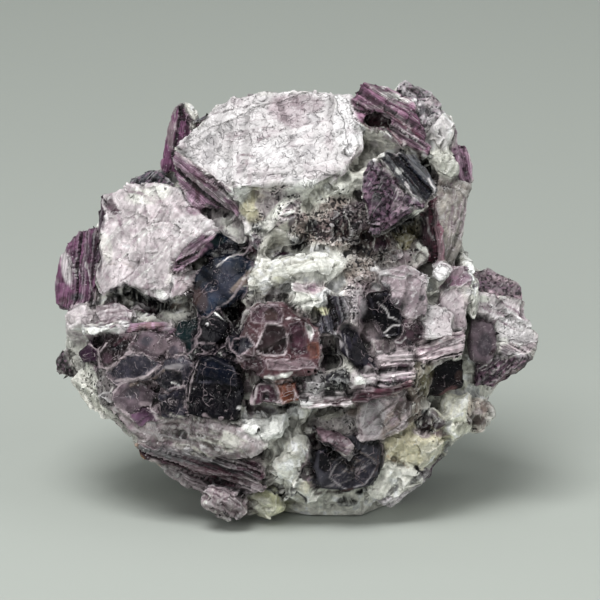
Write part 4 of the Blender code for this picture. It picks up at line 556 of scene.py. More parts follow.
# Lines seen on the front: tone, half width, strength, the points (u, v) that they run through.
STROKES = (
    ("grey_mauve", 0.25, 0.7, ((-5.9, 57.3), (-5.2, 58.1), (-3.8, 58.2))),
    ("wine", 0.18, 0.7, ((-8.4, 55.4), (-7.2, 55.2), (-6.4, 54.9))),
    ("ash_mauve", 0.35, 0.75, ((-9, 55.2), (-8.6, 53.5), (-9, 51.5), (-9.2, 50.4))),
    ("lilac_grey", 0.3, 0.6, ((-7.8, 54.4), (-7.2, 53), (-7, 50.8))),
    ("lilac", 0.16, 0.8, ((10.3, 56.6), (9, 55), (7.4, 53), (5.4, 51.3))),
    ("rose_white", 0.2, 0.9, ((9.8, 56), (8.3, 54), (6.6, 52.2), (5, 51))),
    ("rose_grey", 0.25, 0.8, ((-18.5, 55.5), (-16, 54), (-13.8, 52.6), (-11.6, 51))),
    ("edge_mauve", 0.3, 0.8, ((-17.5, 53.4), (-14.5, 52), (-11, 50.2), (-9, 49))),
    ("maroon", 0.25, 0.85, ((-17.8, 52.6), (-15.5, 52), (-13, 50.6), (-11.8, 49.8))),
    ("maroon", 0.35, 0.9, ((-15.4, 51.6), (-15, 50), (-14.8, 48.4))),
    ("wine_brown", 0.35, 0.8, ((-14.5, 50.6), (-12.5, 49.4), (-11.5, 48.7))),
    ("night", 0.3, 0.95, ((-12.7, 47.3), (-11.6, 46.4), (-9.6, 46))),
    ("mauve", 0.28, 0.7, ((-26.6, 45.4), (-26, 43.2))),
    ("mauve", 0.2, 0.7, ((-25.4, 49.7), (-23.9, 49.3))),
    ("mauve", 0.6, 0.9, ((-18.2, 38.6), (-16, 40), (-13.4, 41.5))),
    ("maroon", 0.22, 0.95, ((-18.4, 36.8), (-17.8, 37.6), (-16.4, 38.4), (-15, 38.7))),
    ("taupe", 0.14, 0.6, ((-29.6, 38.4), (-28, 38.8), (-26, 38.9), (-24.8, 38.2))),
    ("wine_brown", 0.14, 0.8, ((-24.3, 37.7), (-25.4, 36.7), (-26.4, 36.2))),
    ("lilac_grey", 0.16, 0.7, ((-29.2, 37.8), (-28.8, 36.6), (-28, 35.8))),
    # Painted shadow: the wide night line below runs along the undercut under the broad left plate.
    ("night", 0.75, 1, ((-27.3, 34.6), (-26, 35.1), (-23.4, 33.8), (-20.6, 32.7), (-19, 32.9))),
    ("purple_brown", 0.2, 0.85, ((-31.6, 29.2), (-28.6, 29.4), (-27.2, 29.8), (-26.4, 30.6))),
    ("white", 0.2, 0.9, ((-23.8, 31.5), (-23.2, 30.9), (-22.6, 31.4))),
    ("brick", 0.42, 0.8, ((-25, 28.5), (-23.4, 29.2), (-21.6, 29.5), (-20.2, 29.2))),
    ("maroon", 0.24, 0.9, ((-27.4, 26.7), (-26.2, 27.6), (-25.2, 28), (-24.6, 27))),
    ("rose_grey", 0.13, 0.9, ((-32, 27.2), (-30.8, 26.4), (-29.8, 25.6), (-29.4, 24.2))),
    ("rose_grey", 0.13, 0.9, ((-29.6, 25.6), (-28.8, 26.8))),
    ("pale_mauve", 0.13, 0.9, ((-29, 23), (-27.2, 23.4), (-26, 24.6), (-24.8, 25.6))),
    ("rose_grey", 0.13, 0.9, ((-24.8, 25.6), (-23.8, 25), (-22.8, 25.2), (-21.8, 24.2))),
    ("rose_grey", 0.25, 0.85, ((-27.2, 21.3), (-24.4, 21.2), (-22.4, 21.8), (-20.8, 23))),
    ("taupe", 0.2, 0.8, ((-25, 20.4), (-23, 20.8), (-21.4, 21.4), (-20, 22.6))),
    ("white", 0.12, 0.95, ((-18.9, 20.9), (-18.3, 20.7), (-17.8, 20.4))),
    ("ash_mauve", 0.13, 0.85, ((-14.3, 30.8), (-14.6, 29.4), (-14.4, 28.2), (-15.4, 27.4))),
    ("ash_mauve", 0.13, 0.8, ((-15, 26.8), (-12.4, 26.8), (-10.8, 25.2), (-9, 24), (-8.2, 24.1))),
    ("ash_mauve", 0.13, 0.85,
     ((-10.3, 27.6), (-10, 26), (-8.6, 24.2), (-6.9, 24.6), (-6.3, 26.4), (-7.4, 27.9))),
    ("rose_grey", 0.13, 0.8, ((-16.6, 17), (-16.3, 20), (-15.6, 22.4), (-14.8, 24.2))),
    ("silver", 0.14, 0.9, ((-12, 38.3), (-10.6, 39.5), (-8.9, 40.3))),
    ("white", 0.16, 0.9, ((-12.3, 31.3), (-11.4, 30.6), (-10.5, 30))),
    ("rose_grey", 0.13, 0.8, ((-12, 32.2), (-10.4, 32.8), (-9.2, 34.4), (-8, 36.2), (-7.4, 37.8))),
    ("ash_mauve", 0.1, 0.8, ((-8.4, 30.4), (-7.4, 29.6), (-6, 28.6), (-5.7, 27.4))),
    ("rose_white", 0.13, 0.85, ((-1.6, 30.4), (-0.6, 30.7), (0.4, 30.6))),
    ("white", 0.18, 0.9, ((-4.8, 21.6), (-3.4, 21.9), (-2.2, 22.2), (-0.8, 22.3))),
    ("silver", 0.12, 0.8, ((-6.2, 33.1), (-4.4, 33.3), (-2.6, 33.2))),
    ("night", 0.16, 0.9, ((8.6, 23.6), (9.8, 22.2))),
    ("wine_brown", 0.2, 0.8, ((10.8, 23.6), (12, 22.2))),
    ("maroon", 0.25, 0.9, ((2.6, 17.9), (4, 18), (5.6, 17.8), (6.6, 17.3))),
    ("maroon", 0.38, 0.9, ((9, 17.6), (11, 18.3), (12.4, 19), (14, 19.9), (16, 20.2))),
    ("mauve", 0.16, 0.8, ((12.2, 23.1), (15, 23.4), (17, 23.8))),
    ("slate", 0.14, 0.8, ((12.4, 22.5), (15.4, 22.7))),
    ("night", 0.28, 1, ((12.6, 11.4), (12.7, 9), (12.2, 7.2), (11.4, 6.2), (10.2, 5), (9, 4.4))),
    ("umber", 0.14, 0.8, ((12.1, 10.6), (12.1, 8.4), (11.4, 7))),
    ("ash", 0.16, 0.8, ((9, 7.6), (11, 8.6))),
    ("ash", 0.14, 0.7, ((4.4, 5.2), (5.8, 6))),
    ("ash", 0.14, 0.7, ((6.6, 9.6), (8.4, 9))),
    ("ash", 0.14, 0.6, ((6, 5.4), (8.6, 6.6))),
    ("umber", 0.2, 0.9, ((3, 4.3), (6, 4.3), (8.4, 5))),
    ("night", 0.22, 0.95, ((-5.2, 4.9), (-3, 4.4), (0.4, 4.3), (1.2, 3.4))),
    ("ochre", 0.12, 0.7, ((13.6, 9.9), (15, 9), (16.6, 8.3))),
    ("albite_white", 0.2, 0.8, ((22.4, 16.8), (23.4, 18.6))),
    ("albite_white", 0.2, 0.8, ((24.6, 16), (25.2, 18.4))),
    ("mauve", 0.2, 0.8, ((18, 25.8), (20.5, 26), (23.5, 27.6), (25, 28.4))),
    ("wine_brown", 0.3, 0.9, ((17.6, 24.9), (20.6, 25.2), (22.6, 25.3), (24.8, 26))),
    ("silver", 0.18, 0.85, ((27.6, 23.2), (29.4, 24.4), (31.6, 25), (33.4, 25.6))),
    ("taupe", 0.25, 0.9, ((30, 20.6), (32, 22), (33.6, 23.2))),
    ("dark_plum", 0.16, 0.9, ((31.8, 27.3), (33.8, 26.9), (34.8, 26.8))),
    ("bright", 0.2, 0.85, ((29, 31.2), (32, 29.8), (34, 29.2))),
    ("bright", 0.18, 0.85, ((31, 31.8), (33.5, 30.4), (35, 29.4))),
    ("grey_mauve", 0.16, 0.8, ((27, 32.4), (29.5, 32), (31.6, 31))),
    ("silver", 0.13, 0.9, ((12.9, 28.4), (14.2, 29.2), (15.6, 29.6))),
    ("silver", 0.13, 0.9, ((13.4, 28), (14.2, 27.1), (15.4, 27), (16.2, 27.8))),
    ("silver", 0.12, 0.8, ((12.2, 33), (13.4, 32), (13.8, 30.6), (15.4, 30))),
    ("silver", 0.2, 0.7, ((13.8, 37), (15.8, 36.6), (17.4, 37.4), (19, 37.2))),
    ("coal", 0.2, 0.95, ((10.8, 43.4), (12, 42.8), (13.2, 42.2))),
    ("silver", 0.15, 0.85, ((19.6, 45.8), (19.8, 43.8), (20.4, 42.6))),
    ("maroon", 0.3, 0.9, ((18.6, 42.2), (20, 41.4), (21, 40.2))),
    ("umber", 0.18, 0.85, ((14.4, 40.2), (16.4, 40.9), (18.4, 40.4), (19.3, 39.7), (18.4, 38.2))),
    ("night_blue", 0.62, 0.95, ((15.8, 53.8), (17.2, 51.8), (18.6, 50.2), (19.5, 48.8))),
    ("silver", 0.12, 0.8, ((16.2, 51), (16.8, 50), (17.2, 49))),
    ("silver", 0.14, 0.8, ((19.6, 51.4), (20.5, 50), (20.3, 49))),
    ("silver", 0.35, 0.9, ((12.6, 65.4), (14.6, 65.2))),
    ("rose_grey", 0.13, 0.8, ((10.4, 66), (12.6, 64.8), (15, 64))),
    ("white", 0.3, 0.85, ((13, 64.4), (15.2, 63.6), (16.6, 63))),
    ("mauve", 0.35, 0.85, ((8.6, 62.9), (10.6, 63.2), (12, 62.9))),
    ("dark_plum", 0.3, 0.95, ((9.2, 61.8), (11, 61.6), (13.4, 61.2), (14.6, 60))),
    ("coal", 0.2, 0.9, ((10.4, 60.6), (12.2, 60), (14, 59), (14.8, 58.6))),
    ("maroon", 0.24, 0.9, ((10.6, 61.2), (12.6, 60.2), (13.8, 59.4))),
    ("lilac_grey", 0.35, 0.8, ((10.6, 62.5), (13, 62.4), (15, 61), (17, 59.4))),
    ("mauve", 0.55, 0.85, ((18.4, 59.6), (19.3, 57.6), (19.6, 56.6))),
    ("wine_brown", 0.4, 0.9, ((15.6, 58), (17, 56.2), (18.2, 54.8))),
    ("rose_white", 0.2, 0.85, ((16.6, 59.2), (18, 57.2), (19, 56))),
    ("lilac_grey", 0.4, 0.8, ((13, 57.6), (15, 57))),
    ("mauve", 0.25, 0.8, ((24, 57.4), (24.6, 55.6), (25.4, 54))),
    ("lilac_grey", 0.25, 0.8, ((25.2, 56.4), (26, 54.8))),
    ("albite_shade", 0.5, 0.8, ((-31.6, 19.6), (-29.4, 16), (-27, 13.4))),
    ("lilac_grey", 0.5, 0.8, ((-27.4, 16.2), (-25, 14), (-22.6, 12.6))),
    ("rose_white", 0.3, 0.9, ((-20.5, 14.8), (-18.5, 15.4), (-16, 15.5))),
    ("lilac_grey", 0.3, 0.8, ((-14, 16), (-12.6, 15), (-10, 14.6), (-8.4, 13.6))),
    ("umber", 0.3, 0.9, ((-20.2, 13.6), (-18.6, 13.3), (-16.8, 12.6))),
    ("coal", 0.16, 0.9, ((-19.8, 13.2), (-18, 12.9), (-16.4, 12.2))),
    ("umber", 0.35, 0.85, ((-15.4, 12.4), (-13.6, 11.6), (-11.6, 10.4))),
    ("coal", 0.3, 0.95,
     ((-23.5, 11), (-21.5, 10.6), (-19.4, 10), (-17, 9.5), (-14.6, 8.6), (-12, 8))),
    ("ochre", 0.25, 0.8, ((-24.2, 11.2), (-23.8, 10.2), (-22.4, 9), (-20.6, 8.4))),
    ("maroon", 0.25, 0.9, ((-23.4, 10.4), (-21, 9.6))),
    ("coal", 0.35, 0.95, ((-11, 8.4), (-9.4, 7.6), (-6.8, 7.4))),
    ("wine_brown", 0.4, 0.9, ((-17, 7.8), (-14.5, 6.8), (-12, 5.8), (-9, 5.2))),
    ("coal", 0.3, 0.95, ((-14, 6.1), (-12, 5.4), (-9.6, 5), (-7, 4.8))),
    ("ash_mauve", 0.4, 0.8, ((-19, 8), (-17, 6.4), (-15, 5))),
    ("ash", 0.4, 0.7, ((-18.6, 11), (-15.6, 10.2), (-13, 9.4))),
    ("rose_white", 0.4, 0.8, ((-8.8, 13.2), (-7, 12.4), (-5.6, 11.6))),
    ("white", 0.22, 1, ((-13.5, 3.1), (-13.3, 2.9))),
)

# Sheaves of nearly parallel streaks seen on the front: tone, half width, strength, where they
# start and end (u, v), how many, how far they spread and how far they bow.
SHEAVES = (
    ("wine_brown", 0.2, 0.9, (-24, 13.6), (-8, 9), 10, 1.8, 0.6),
    ("ash", 0.18, 0.7, (-24, 13), (-8, 8.4), 9, 2.2, 0.6),
    ("albite_shade", 0.22, 0.7, (-22, 14.5), (-8, 10.5), 7, 2, 0.8),
    ("grey_mauve", 0.3, 0.8, (-21.5, 14.6), (-8, 12.4), 7, 1.6, 0.7),
    ("umber", 0.16, 0.85, (-21, 14.2), (-9, 12), 7, 1.5, 0.6),
    ("coal", 0.24, 0.95, (-24, 11.2), (-7, 6), 9, 1.5, 0.4),
    ("maroon", 0.28, 0.9, (-21, 9.5), (-7, 5), 9, 1.4, 0.3),
    ("lilac_grey", 0.16, 0.7, (-15, 5.4), (-6, 0.6), 8, 1.8, 0),
    ("wine_brown", 0.12, 0.8, (-15, 5.4), (-6, 0.6), 6, 1.8, 0),
    ("deep_purple", 0.1, 0.8, (-33.2, 41.5), (-31.6, 34), 9, 2.2, 0),
    ("silver", 0.1, 0.7, (-33.2, 41.5), (-31.6, 34), 6, 2, 0),
    ("maroon", 0.14, 0.85, (-18, 53.6), (-9.5, 47.5), 9, 1.8, 0.2),
    ("rose_white", 0.12, 0.8, (-18, 53.6), (-9.5, 47.5), 8, 1.8, 0.2),
    ("rose_grey", 0.1, 0.8, (-18.2, 62), (-19, 55), 5, 0.9, 0),
    ("wine", 0.14, 0.8, (9.5, 63.2), (19, 56.5), 8, 2.2, 0.3),
    ("rose_white", 0.12, 0.8, (9.5, 63.6), (19.3, 57), 8, 2.6, 0.3),
    ("dark_plum", 0.12, 0.8, (10, 62.5), (18.5, 56), 6, 2.2, 0.3),
    ("rose_white", 0.12, 0.7, (10.5, 56.4), (4.5, 50.8), 5, 0.8, 0),
    ("rose_white", 0.12, 0.8, (24.5, 51), (23, 40), 8, 1.6, 0),
    ("grey_mauve", 0.14, 0.8, (24.5, 51), (23, 40), 7, 1.6, 0),
    ("albite_white", 0.2, 0.6, (-8.5, 34.5), (7.5, 39), 9, 1.6, 1.6),
    ("albite_shade", 0.14, 0.7, (-8.5, 34.5), (7.5, 39), 9, 1.6, 1.6),
    ("albite_white", 0.25, 0.8, (-5, 43.5), (3, 50.5), 7, 1.6, 0.4),
    ("bright", 0.12, 0.85, (28, 33.4), (35.2, 28.8), 9, 1.8, 0),
    ("mauve", 0.12, 0.8, (28, 33.4), (35.2, 28.8), 7, 1.8, 0),
    ("edge_mauve", 0.12, 0.8, (27.5, 20.5), (34, 25), 8, 1.6, 0),
    ("rose_white", 0.1, 0.8, (27.5, 20.5), (34, 25), 7, 1.6, 0),
    ("silver", 0.1, 0.6, (10, 21.5), (18, 23.2), 7, 1.5, 0),
    ("mauve", 0.1, 0.7, (10, 21.5), (18, 23.2), 9, 1.5, 0),
    ("night_blue", 0.3, 0.95, (14, 54.6), (19.5, 48.5), 7, 1.7, 0),
    ("slate_blue", 0.1, 0.8, (14, 55), (20, 48.5), 7, 1.9, 0),
    ("maroon", 0.14, 0.85, (3, 17.2), (16, 20.2), 5, 0.5, 0.2),
    ("ash", 0.16, 0.6, (9, 12.5), (16, 17.5), 8, 2.2, 0),
    ("umber", 0.16, 0.7, (11, 12.5), (17, 18), 6, 2, 0),
    ("albite_white", 0.2, 0.7, (-3, 13), (0, 4), 9, 2.6, 0.4),
    ("albite_shade", 0.2, 0.7, (-3, 13), (0, 4), 6, 2.6, 0.4),
    ("albite_white", 0.15, 0.8, (21.5, 13.5), (25.5, 20), 8, 1.6, 0),
    ("ash", 0.08, 0.5, (4, 6), (11.5, 10.5), 12, 2.4, 0.5),
    ("taupe", 0.08, 0.5, (5, 9.8), (12, 6.4), 9, 2.4, 0.3),
    ("coal", 0.12, 0.8, (4.5, 10.5), (11, 7), 5, 2, 0.5),
    ("ash", 0.1, 0.7, (5.4, 29.5), (7, 23), 8, 1.6, 0),
    ("coal", 0.14, 0.9, (5.2, 29), (8.5, 22), 8, 2.2, 0),
    ("rose_white", 0.14, 0.8, (-33.5, 29.5), (-21, 31.5), 7, 1.2, 0.6),
    ("maroon", 0.1, 0.8, (-33.5, 29.5), (-21, 31.5), 5, 1.4, 0.5),
    ("white", 0.12, 0.7, (-28, 39), (-18, 47), 8, 5, 0.5),
    ("rose_grey", 0.12, 0.7, (-28.5, 46), (-16, 40), 9, 5.5, 0.3),
    ("lilac_grey", 0.1, 0.6, (-16, 57), (7, 60), 12, 5, 0.8),
    ("ash", 0.1, 0.6, (-12, 51.5), (6, 62), 12, 5, -0.6),
)

# Where the single streaks of a sheaf start and end, how far they stray and how wide they are.
STREAK_START = (0.0, 0.45)
STREAK_END = (0.55, 1.0)
STREAK_SHIFT = 0.12
STREAK_WIDTHS = (0.6, 1.3)

# The middle and the outline of the feldspar core as seen from the front (u, v).
CORE_CENTRE = np.array((0.0, 33.0))
CORE_OUTLINE = np.array((
    (-11, 0.8), (-16, 5.6), (-22.5, 10.2), (-27.5, 15), (-32.5, 20.5), (-34.6, 25.5), (-34.2, 31),
    (-33.5, 37), (-30.5, 42.5), (-28, 47.5), (-23.5, 50.5), (-18.5, 53.5), (-15.5, 58),
    (-10.5, 62), (-3, 63.3), (4, 63.3), (11, 63), (17, 63), (21.3, 59.5), (24, 54.5), (24.6, 48),
    (24.2, 41), (27, 36.6), (32, 34.5), (34, 29.5), (32.5, 24), (28.6, 18.5), (25.5, 14), (21, 9),
    (16.5, 5), (12, 1.5), (0, 0),
))

# How far the core bulges and how full it is; then the number of books behind, their spread,
# lean, size, corners, raggedness, stand above the core, and how they shrink to stay unseen
# from the front.
CORE_FRONT = 15.5
CORE_BACK = 22.0
CORE_FULLNESS = 2.3
BACK_BOOKS = 46
BACK_SEED = 11
BACK_REACH = 1.06
BACK_LEAN = 0.28
BACK_SIZE = (4.6, 9.4)
BACK_CORNERS = (5, 6, 6, 7)
BACK_CORNER_SHIFT = 0.22
BACK_RAGGEDNESS = (0.72, 1.08)
BACK_FLATNESS = 0.82
BACK_STAND = (-0.6, 1.8)
BACK_SIDE_HINT = (0.31, 0.2, 0.93)
BACK_OVERHANG = 0.9
BACK_SHRINK = 0.85
BACK_SHRINKS = 3
# Their kinds and tones, taken in turn.
BACK_LOOKS = (
    ("pearl", "rose_white"), ("smoky", "dull_mauve"), ("pearl", "lilac_grey"), ("cell", "purple"),
    ("foil", "silver"), ("smoky", "mauve"), ("night", "dark_slate"), ("pearl", "pale_mauve"),
    ("cell", "grey_mauve"), ("plum", "plum"), ("spar", "albite"), ("smoky", "purple_brown"),
)

# The kinds of surface, and where (u) the feldspar is parted into left, middle and right.
KINDS = ("rock", "rock_left", "rock_right", "foil", "pearl", "night", "cell", "plum", "smoky",
         "edge", "spar")
ROCK_PARTS = (-9.0, 10.0)

# How each kind behaves: how far its colour runs past its outline so that neighbours meet, how
# mottled it is, how broken up into facets, how calm its face lies, how much paler its worn
# edges and painted highlights are, and how much deeper its colour is painted in hollows, as shade.
Habit = namedtuple("Habit", "growth mottle broken calm wear gloom")
HABITS = {
    "foil": Habit(0.3, 0.14, 0.16, 0.75, 0.5, 0.5),
    "pearl": Habit(0.6, 0.34, 0.22, 0.75, 0.5, 0.55),
    "cell": Habit(1.5, 0.3, 0.08, 0.9, 0.06, 0.7),
    "night": Habit(1.5, 0.4, 0.06, 0.95, 0.015, 0.7),
    "plum": Habit(0.7, 0.4, 0.16, 0.9, 0.08, 0.7),
    "smoky": Habit(0.6, 0.7, 0.5, 0.6, 0.2, 0.7),
    "spar": Habit(0.5, 0.2, 0.5, 0.6, 0.5, 0.45),
    "edge": Habit(0.6, 0.5, 0.16, 0.6, 0.22, 0.7),
    "rock": Habit(0.0, 0.45, 0.62, 0.0, 0.5, 0.42),
}
# The low swells on a flat face of each kind: their heights and sizes across.
SWELLS = {
    "foil": ((0.22, 4.0), (0.1, 1.5)), "spar": ((0.2, 2.5), (0.14, 0.9)),
    "smoky": ((0.12, 2.0), (0.1, 0.6)), "pearl": ((0.16, 3.0), (0.05, 0.8)),
}
PLAIN_SWELLS = ((0.06, 3.0),)

# The relief of a book, in mm: its cleavage steps, how far a face and a split edge may sink and
# rise, the sheets of a split edge with their shades, and the direction of a face's own grain.
STEP_HEIGHT = 0.16
FACE_RELIEF = (-0.26, 0.7)
EDGE_RELIEF = (-0.27, 0.5)
SHEET_THICKNESSES = (0.2, 0.3, 0.4, 0.6, 1.0)
SHEET_SHADES = (-1.0, -0.5, 0.0, 0.0, 0.4, 1.0)
PLATE_ANGLE = 1.0
FACE_TILT = 0.05

# Which book a point belongs to: how far off its face counts as on it, what lying further off
# costs, and from how far inside on, and how far around, a book counts in full.
FACE_TOLERANCE = 0.5
STEP_PENALTY = 1.5
FULL_REACH = 1.6
SIGHT = 3.0

# How the books' borders wander and how the whole skin bends: heights, sizes across and seeds.
BORDER_WANDER = ((0.32, 2.2, 81), (0.18, 0.8, 84))
BENDS = ((0.36, 2.6, 91), (0.14, 1.1, 101))

# The skin: how fine its front and back are cut, where they meet, how wide a gap it bridges
# and how large its facets are.
FRONT_VOXEL = 0.22
BACK_VOXEL = 0.45
SEAM_DEPTH = -4.0
SEAM_OVERLAP = 0.6
CLOSED_GAP = 0.45
BROAD_FACET = 2.6
FINE_FACET = 1.0

# Small fillings of feldspar between the lumps of the solid: u, v, depth, radius.
FILLINGS = (
    (-2.5, 34.8, 15.6, 2.4), (5.9, 35.8, 15.8, 2.3), (4.9, 27, 16.6, 1.9), (-24, 31, 9, 1.8),
    (0.4, 17, 15, 2), (8.6, 16.4, 14.6, 2), (12, 26, 15.6, 2), (20.6, 20.6, 13, 2),
    (-18.3, 13.1, 13.9, 1.6), (-16.6, 13, 13.6, 1.2), (11, 60.6, 10.9, 1.5),
    (13.2, 59.8, 10.9, 1.4), (-12.6, 4.9, 10.2, 1.6), (-10.4, 5.3, 10.9, 1.6), (-7.6, 4, 9.6, 1.7),
    (-7.4, 2.1, 8.8, 1.5),
    *((-9.2, 51.5 + 1.4 * i, 19.0 - 0.763 * i, 1.3) for i in range(9)),
)
# Plates that lie under one leaf of mica, and where they meet: u, from v, to v, half width.
ONE_LEAF = ("top_left_face", "top_face")
HEALED_SEAM = (-9.2, 51.4, 63.6, 1.3)

# Its roughness, how far a place without a border counts as lying from one, the rims and
# hollows of the cells, and the crust along the borders of the books.
SKIN_INSET = 0.05
SKIN_RELIEF = 0.38
FAR_FROM_RIM = 3.0
CELL_RIM = 0.12
CELL_SINK = 0.14
CRUST_HEIGHT = 0.26
CRUST_REACH = 0.42

# How wide the border of a book is in which its relief, its calm and its colour fade, how far the
# relief fades towards the foot, how strongly sheets and steps show, and the shading of what
# stands out of its surroundings: weight and how many rounds of smoothing.
FADE_WIDTH = 0.5
CALM_WIDTH = 0.8
WORN_WIDTH = 0.5
MOST_WORN = 0.6
FOOT_HEIGHT = 1.5
SHEET_CONTRAST = 0.9
STEP_CONTRAST = 0.3
GRAIN_START = 60.0
STANDING_OUT = ((5.0, 2), (3.0, 9))

# The loose chips of mica that cover the skin: how many, their shapes and tones, how far they
# stand off the skin, how many lie on clean feldspar and how low they reach, in mm.
CHIP_FORMS = 6
FRONT_CHIPS = 170
BACK_CHIPS = 200
CHIP_RADIUS = (0.15, 0.5)
CHIP_TILT = 0.22
CHIP_CORNERS = (5, 6, 6, 7)
CHIP_SHADES = (0.35, 0.6, 0.9, 1.1, 1.3)
SILVERY_CHIPS = 0.15
SILVERY_TONES = ("silver", "rose_grey", "lilac_grey")
CHIP_RAGGEDNESS = (0.62, 1.0)
CHIP_CURL = 0.12
CHIP_SHEETS = (0.14, 0.3)
CHIP_OVERLAP = (1.2, 1.15, 1.0)
CHIP_STRETCH = (0.55, 1.0)
CHIP_STAND = (0.05, 0.2)
CHIPS_ON_CLEAN = 0.12
LOWEST_CHIP = 1.0

# One seed for each noise and each shuffle, so that every run gives the same stone.
SEEDS = {
    "streaks": 5, "rear_books": 8, "chips": 12, "spots": 41, "worn": 45, "lines": 46,
    "rock_patches": 50, "cells": 56, "cell_rims": 58, "line_gaps": 60, "drifts": 61, "swells": 71,
    "ridges": 73, "crumbs": 74, "books": 77, "rock": 78, "warp": 81, "broad_facets": 300,
    "fine_facets": 400, "book_faces": 500,
}

# The room: a pale ground that curves up behind, its colour, and the soft lamps: name, place,
# size, power and what they shine on.
GROUND_SIZE = 3.0
GROUND_LEVEL = -0.0002
WALL_HEIGHT = 2.0
GROUND_BACK = 1.0
CURVE_RADIUS = 0.8
CURVE_STEPS = 24
PAPER_COLOUR = (0.44, 0.47, 0.435, 1.0)
PAPER_ROUGHNESS = 0.8
ROOM_COLOUR = (0.86, 0.9, 0.88, 1.0)
ROOM_STRENGTH = 0.25
STONE_MIDDLE = (0.0, 0.0, 0.033)
LAMPS = (
    ("overhead", (-0.12, -0.30, 0.62), 0.36, 4.5, STONE_MIDDLE),
    ("front", (-0.25, -0.75, 0.30), 0.4, 1.6, STONE_MIDDLE),
    ("side", (0.5, -0.25, 0.35), 0.4, 0.8, STONE_MIDDLE),
    ("backdrop", (0.0, 0.35, 0.9), 0.7, 3.5, (0.0, 1.5, 0.3)),
)
SENSOR_WIDTH = 36.0
NEAREST_SEEN = 0.01

# What the noise is mixed with, and where it usually lies in the materials.
WORD = 2 ** 32
LOW_BITS = np.uint64(WORD - 1)
HASH_SEED, HASH_TURN, HASH_END = 2654435761, 2246822519, 3266489917
HASH_STEPS = (73856093, 19349663, 83492791)
NOISE_SPAN = (0.3, 0.7)


def hash_noise(cells, seed):
    """A fixed value of 0 to 1 for each whole-numbered cell."""
    mixed = np.full(len(cells), seed * HASH_SEED % WORD, np.uint64)
    for axis, factor in enumerate(HASH_STEPS):
        mixed ^= (cells[:, axis].astype(np.int64) * factor).astype(np.uint64) & LOW_BITS
        mixed = (mixed * np.uint64(HASH_TURN)) & LOW_BITS
        mixed ^= mixed >> np.uint64(13)
    mixed = (mixed * np.uint64(HASH_END)) & LOW_BITS
    mixed ^= mixed >> np.uint64(16)
    return mixed.astype(float) / float(LOW_BITS)


def waves(points, size, seed):
    """Smooth noise of -1 to 1 whose swells are about this many millimetres across."""
    points = np.column_stack([points, np.zeros((len(points), 3 - points.shape[1]))]) / size
    base = np.floor(points)
    share = points - base
    share = share * share * (3.0 - 2.0 * share)
    total = np.zeros(len(points))
    for corner in np.ndindex(2, 2, 2):
        weight = np.prod(np.where(corner, share, 1.0 - share), axis=1)
        total += weight * hash_noise(base + corner, seed)
    return total * 2.0 - 1.0


def shifts(points, axes, *swells):
    """A smooth shift along this many axes, summed from swells: height, size across and seed."""
    return np.column_stack([
        sum(height * waves(points, size, seed + axis) for height, size, seed in swells)
        for axis in range(axes)
    ])


def mix(under, over, share):
    """Values laid over others, each point with its own share."""
    share = share.reshape(-1, *[1] * (np.ndim(under) - 1))
    return under * (1.0 - share) + over * share


def facets(points, size, seed):
    """Broken facets about this many millimetres across: how far each point is lifted by the
    tilt of its own facet, and a value of -1 to 1 for that facet."""
    spots = points / size
    base = np.floor(spots - 0.5)
    nearest = np.full(len(points), 9.0)
    lift, value = np.zeros(len(points)), np.zeros(len(points))
    for corner in np.ndindex(2, 2, 2):
        cells = base + corner
        jitter = np.column_stack([hash_noise(cells, seed + k) for k in range(3)]) - 0.5
        away = spots - (cells + 0.5 + 0.8 * jitter)
        distance = (away * away).sum(axis=1)
        closer = distance < nearest
        nearest[closer] = distance[closer]
        tilt = np.column_stack([hash_noise(cells, seed + k) for k in range(3, 6)]) - 0.5
        own = hash_noise(cells, seed + 6) * 2.0 - 1.0
        lift[closer] = ((away * tilt).sum(axis=1) * size + 0.12 * size * own)[closer]
        value[closer] = own[closer]
    return lift, value


def tones(name, count=1):
    """A named tone as linear red, green and blue, once for each point."""
    screen = np.array(TONES[name]) / 255.0
    linear = np.where(screen <= 0.04045, screen / 12.92, ((screen + 0.055) / 1.055) ** 2.4)
    return np.tile(linear, (count, 1))


def at(u, v, depth):
    """The place in mm of a point seen at (u, v) that lies this far before the middle plane."""
    flat = FRONT_ORIGIN + u * RIGHT + v * UP
    return flat + (EYE - flat) * (depth / EYE_DISTANCE)


def seen(points):
    """Where places in mm are seen, as u and v, and how far they lie in front."""
    ray = points - EYE
    flat = EYE + ray * (EYE_DISTANCE / -(ray @ TOWARDS))[:, None] - FRONT_ORIGIN
    return flat @ RIGHT, flat @ UP, (points - FRONT_ORIGIN) @ TOWARDS


def unit(vector):
    """The same direction with length one."""
    return vector / np.linalg.norm(vector)


def direction(facing):
    """A direction given as right, up and towards the eye."""
    return unit(facing[0] * RIGHT + facing[1] * UP + facing[2] * TOWARDS)


def on_face(outline, depth, facing):
    """Points seen at the outline that lie on the plane through its middle."""
    centre = at(*np.mean(outline, axis=0), depth)
    normal = direction(facing)
    points = []
    for u, v in outline:
        ray = at(u, v, 0.0) - EYE
        points.append(EYE + ray * ((centre - EYE) @ normal / (ray @ normal)))
    return np.array(points)


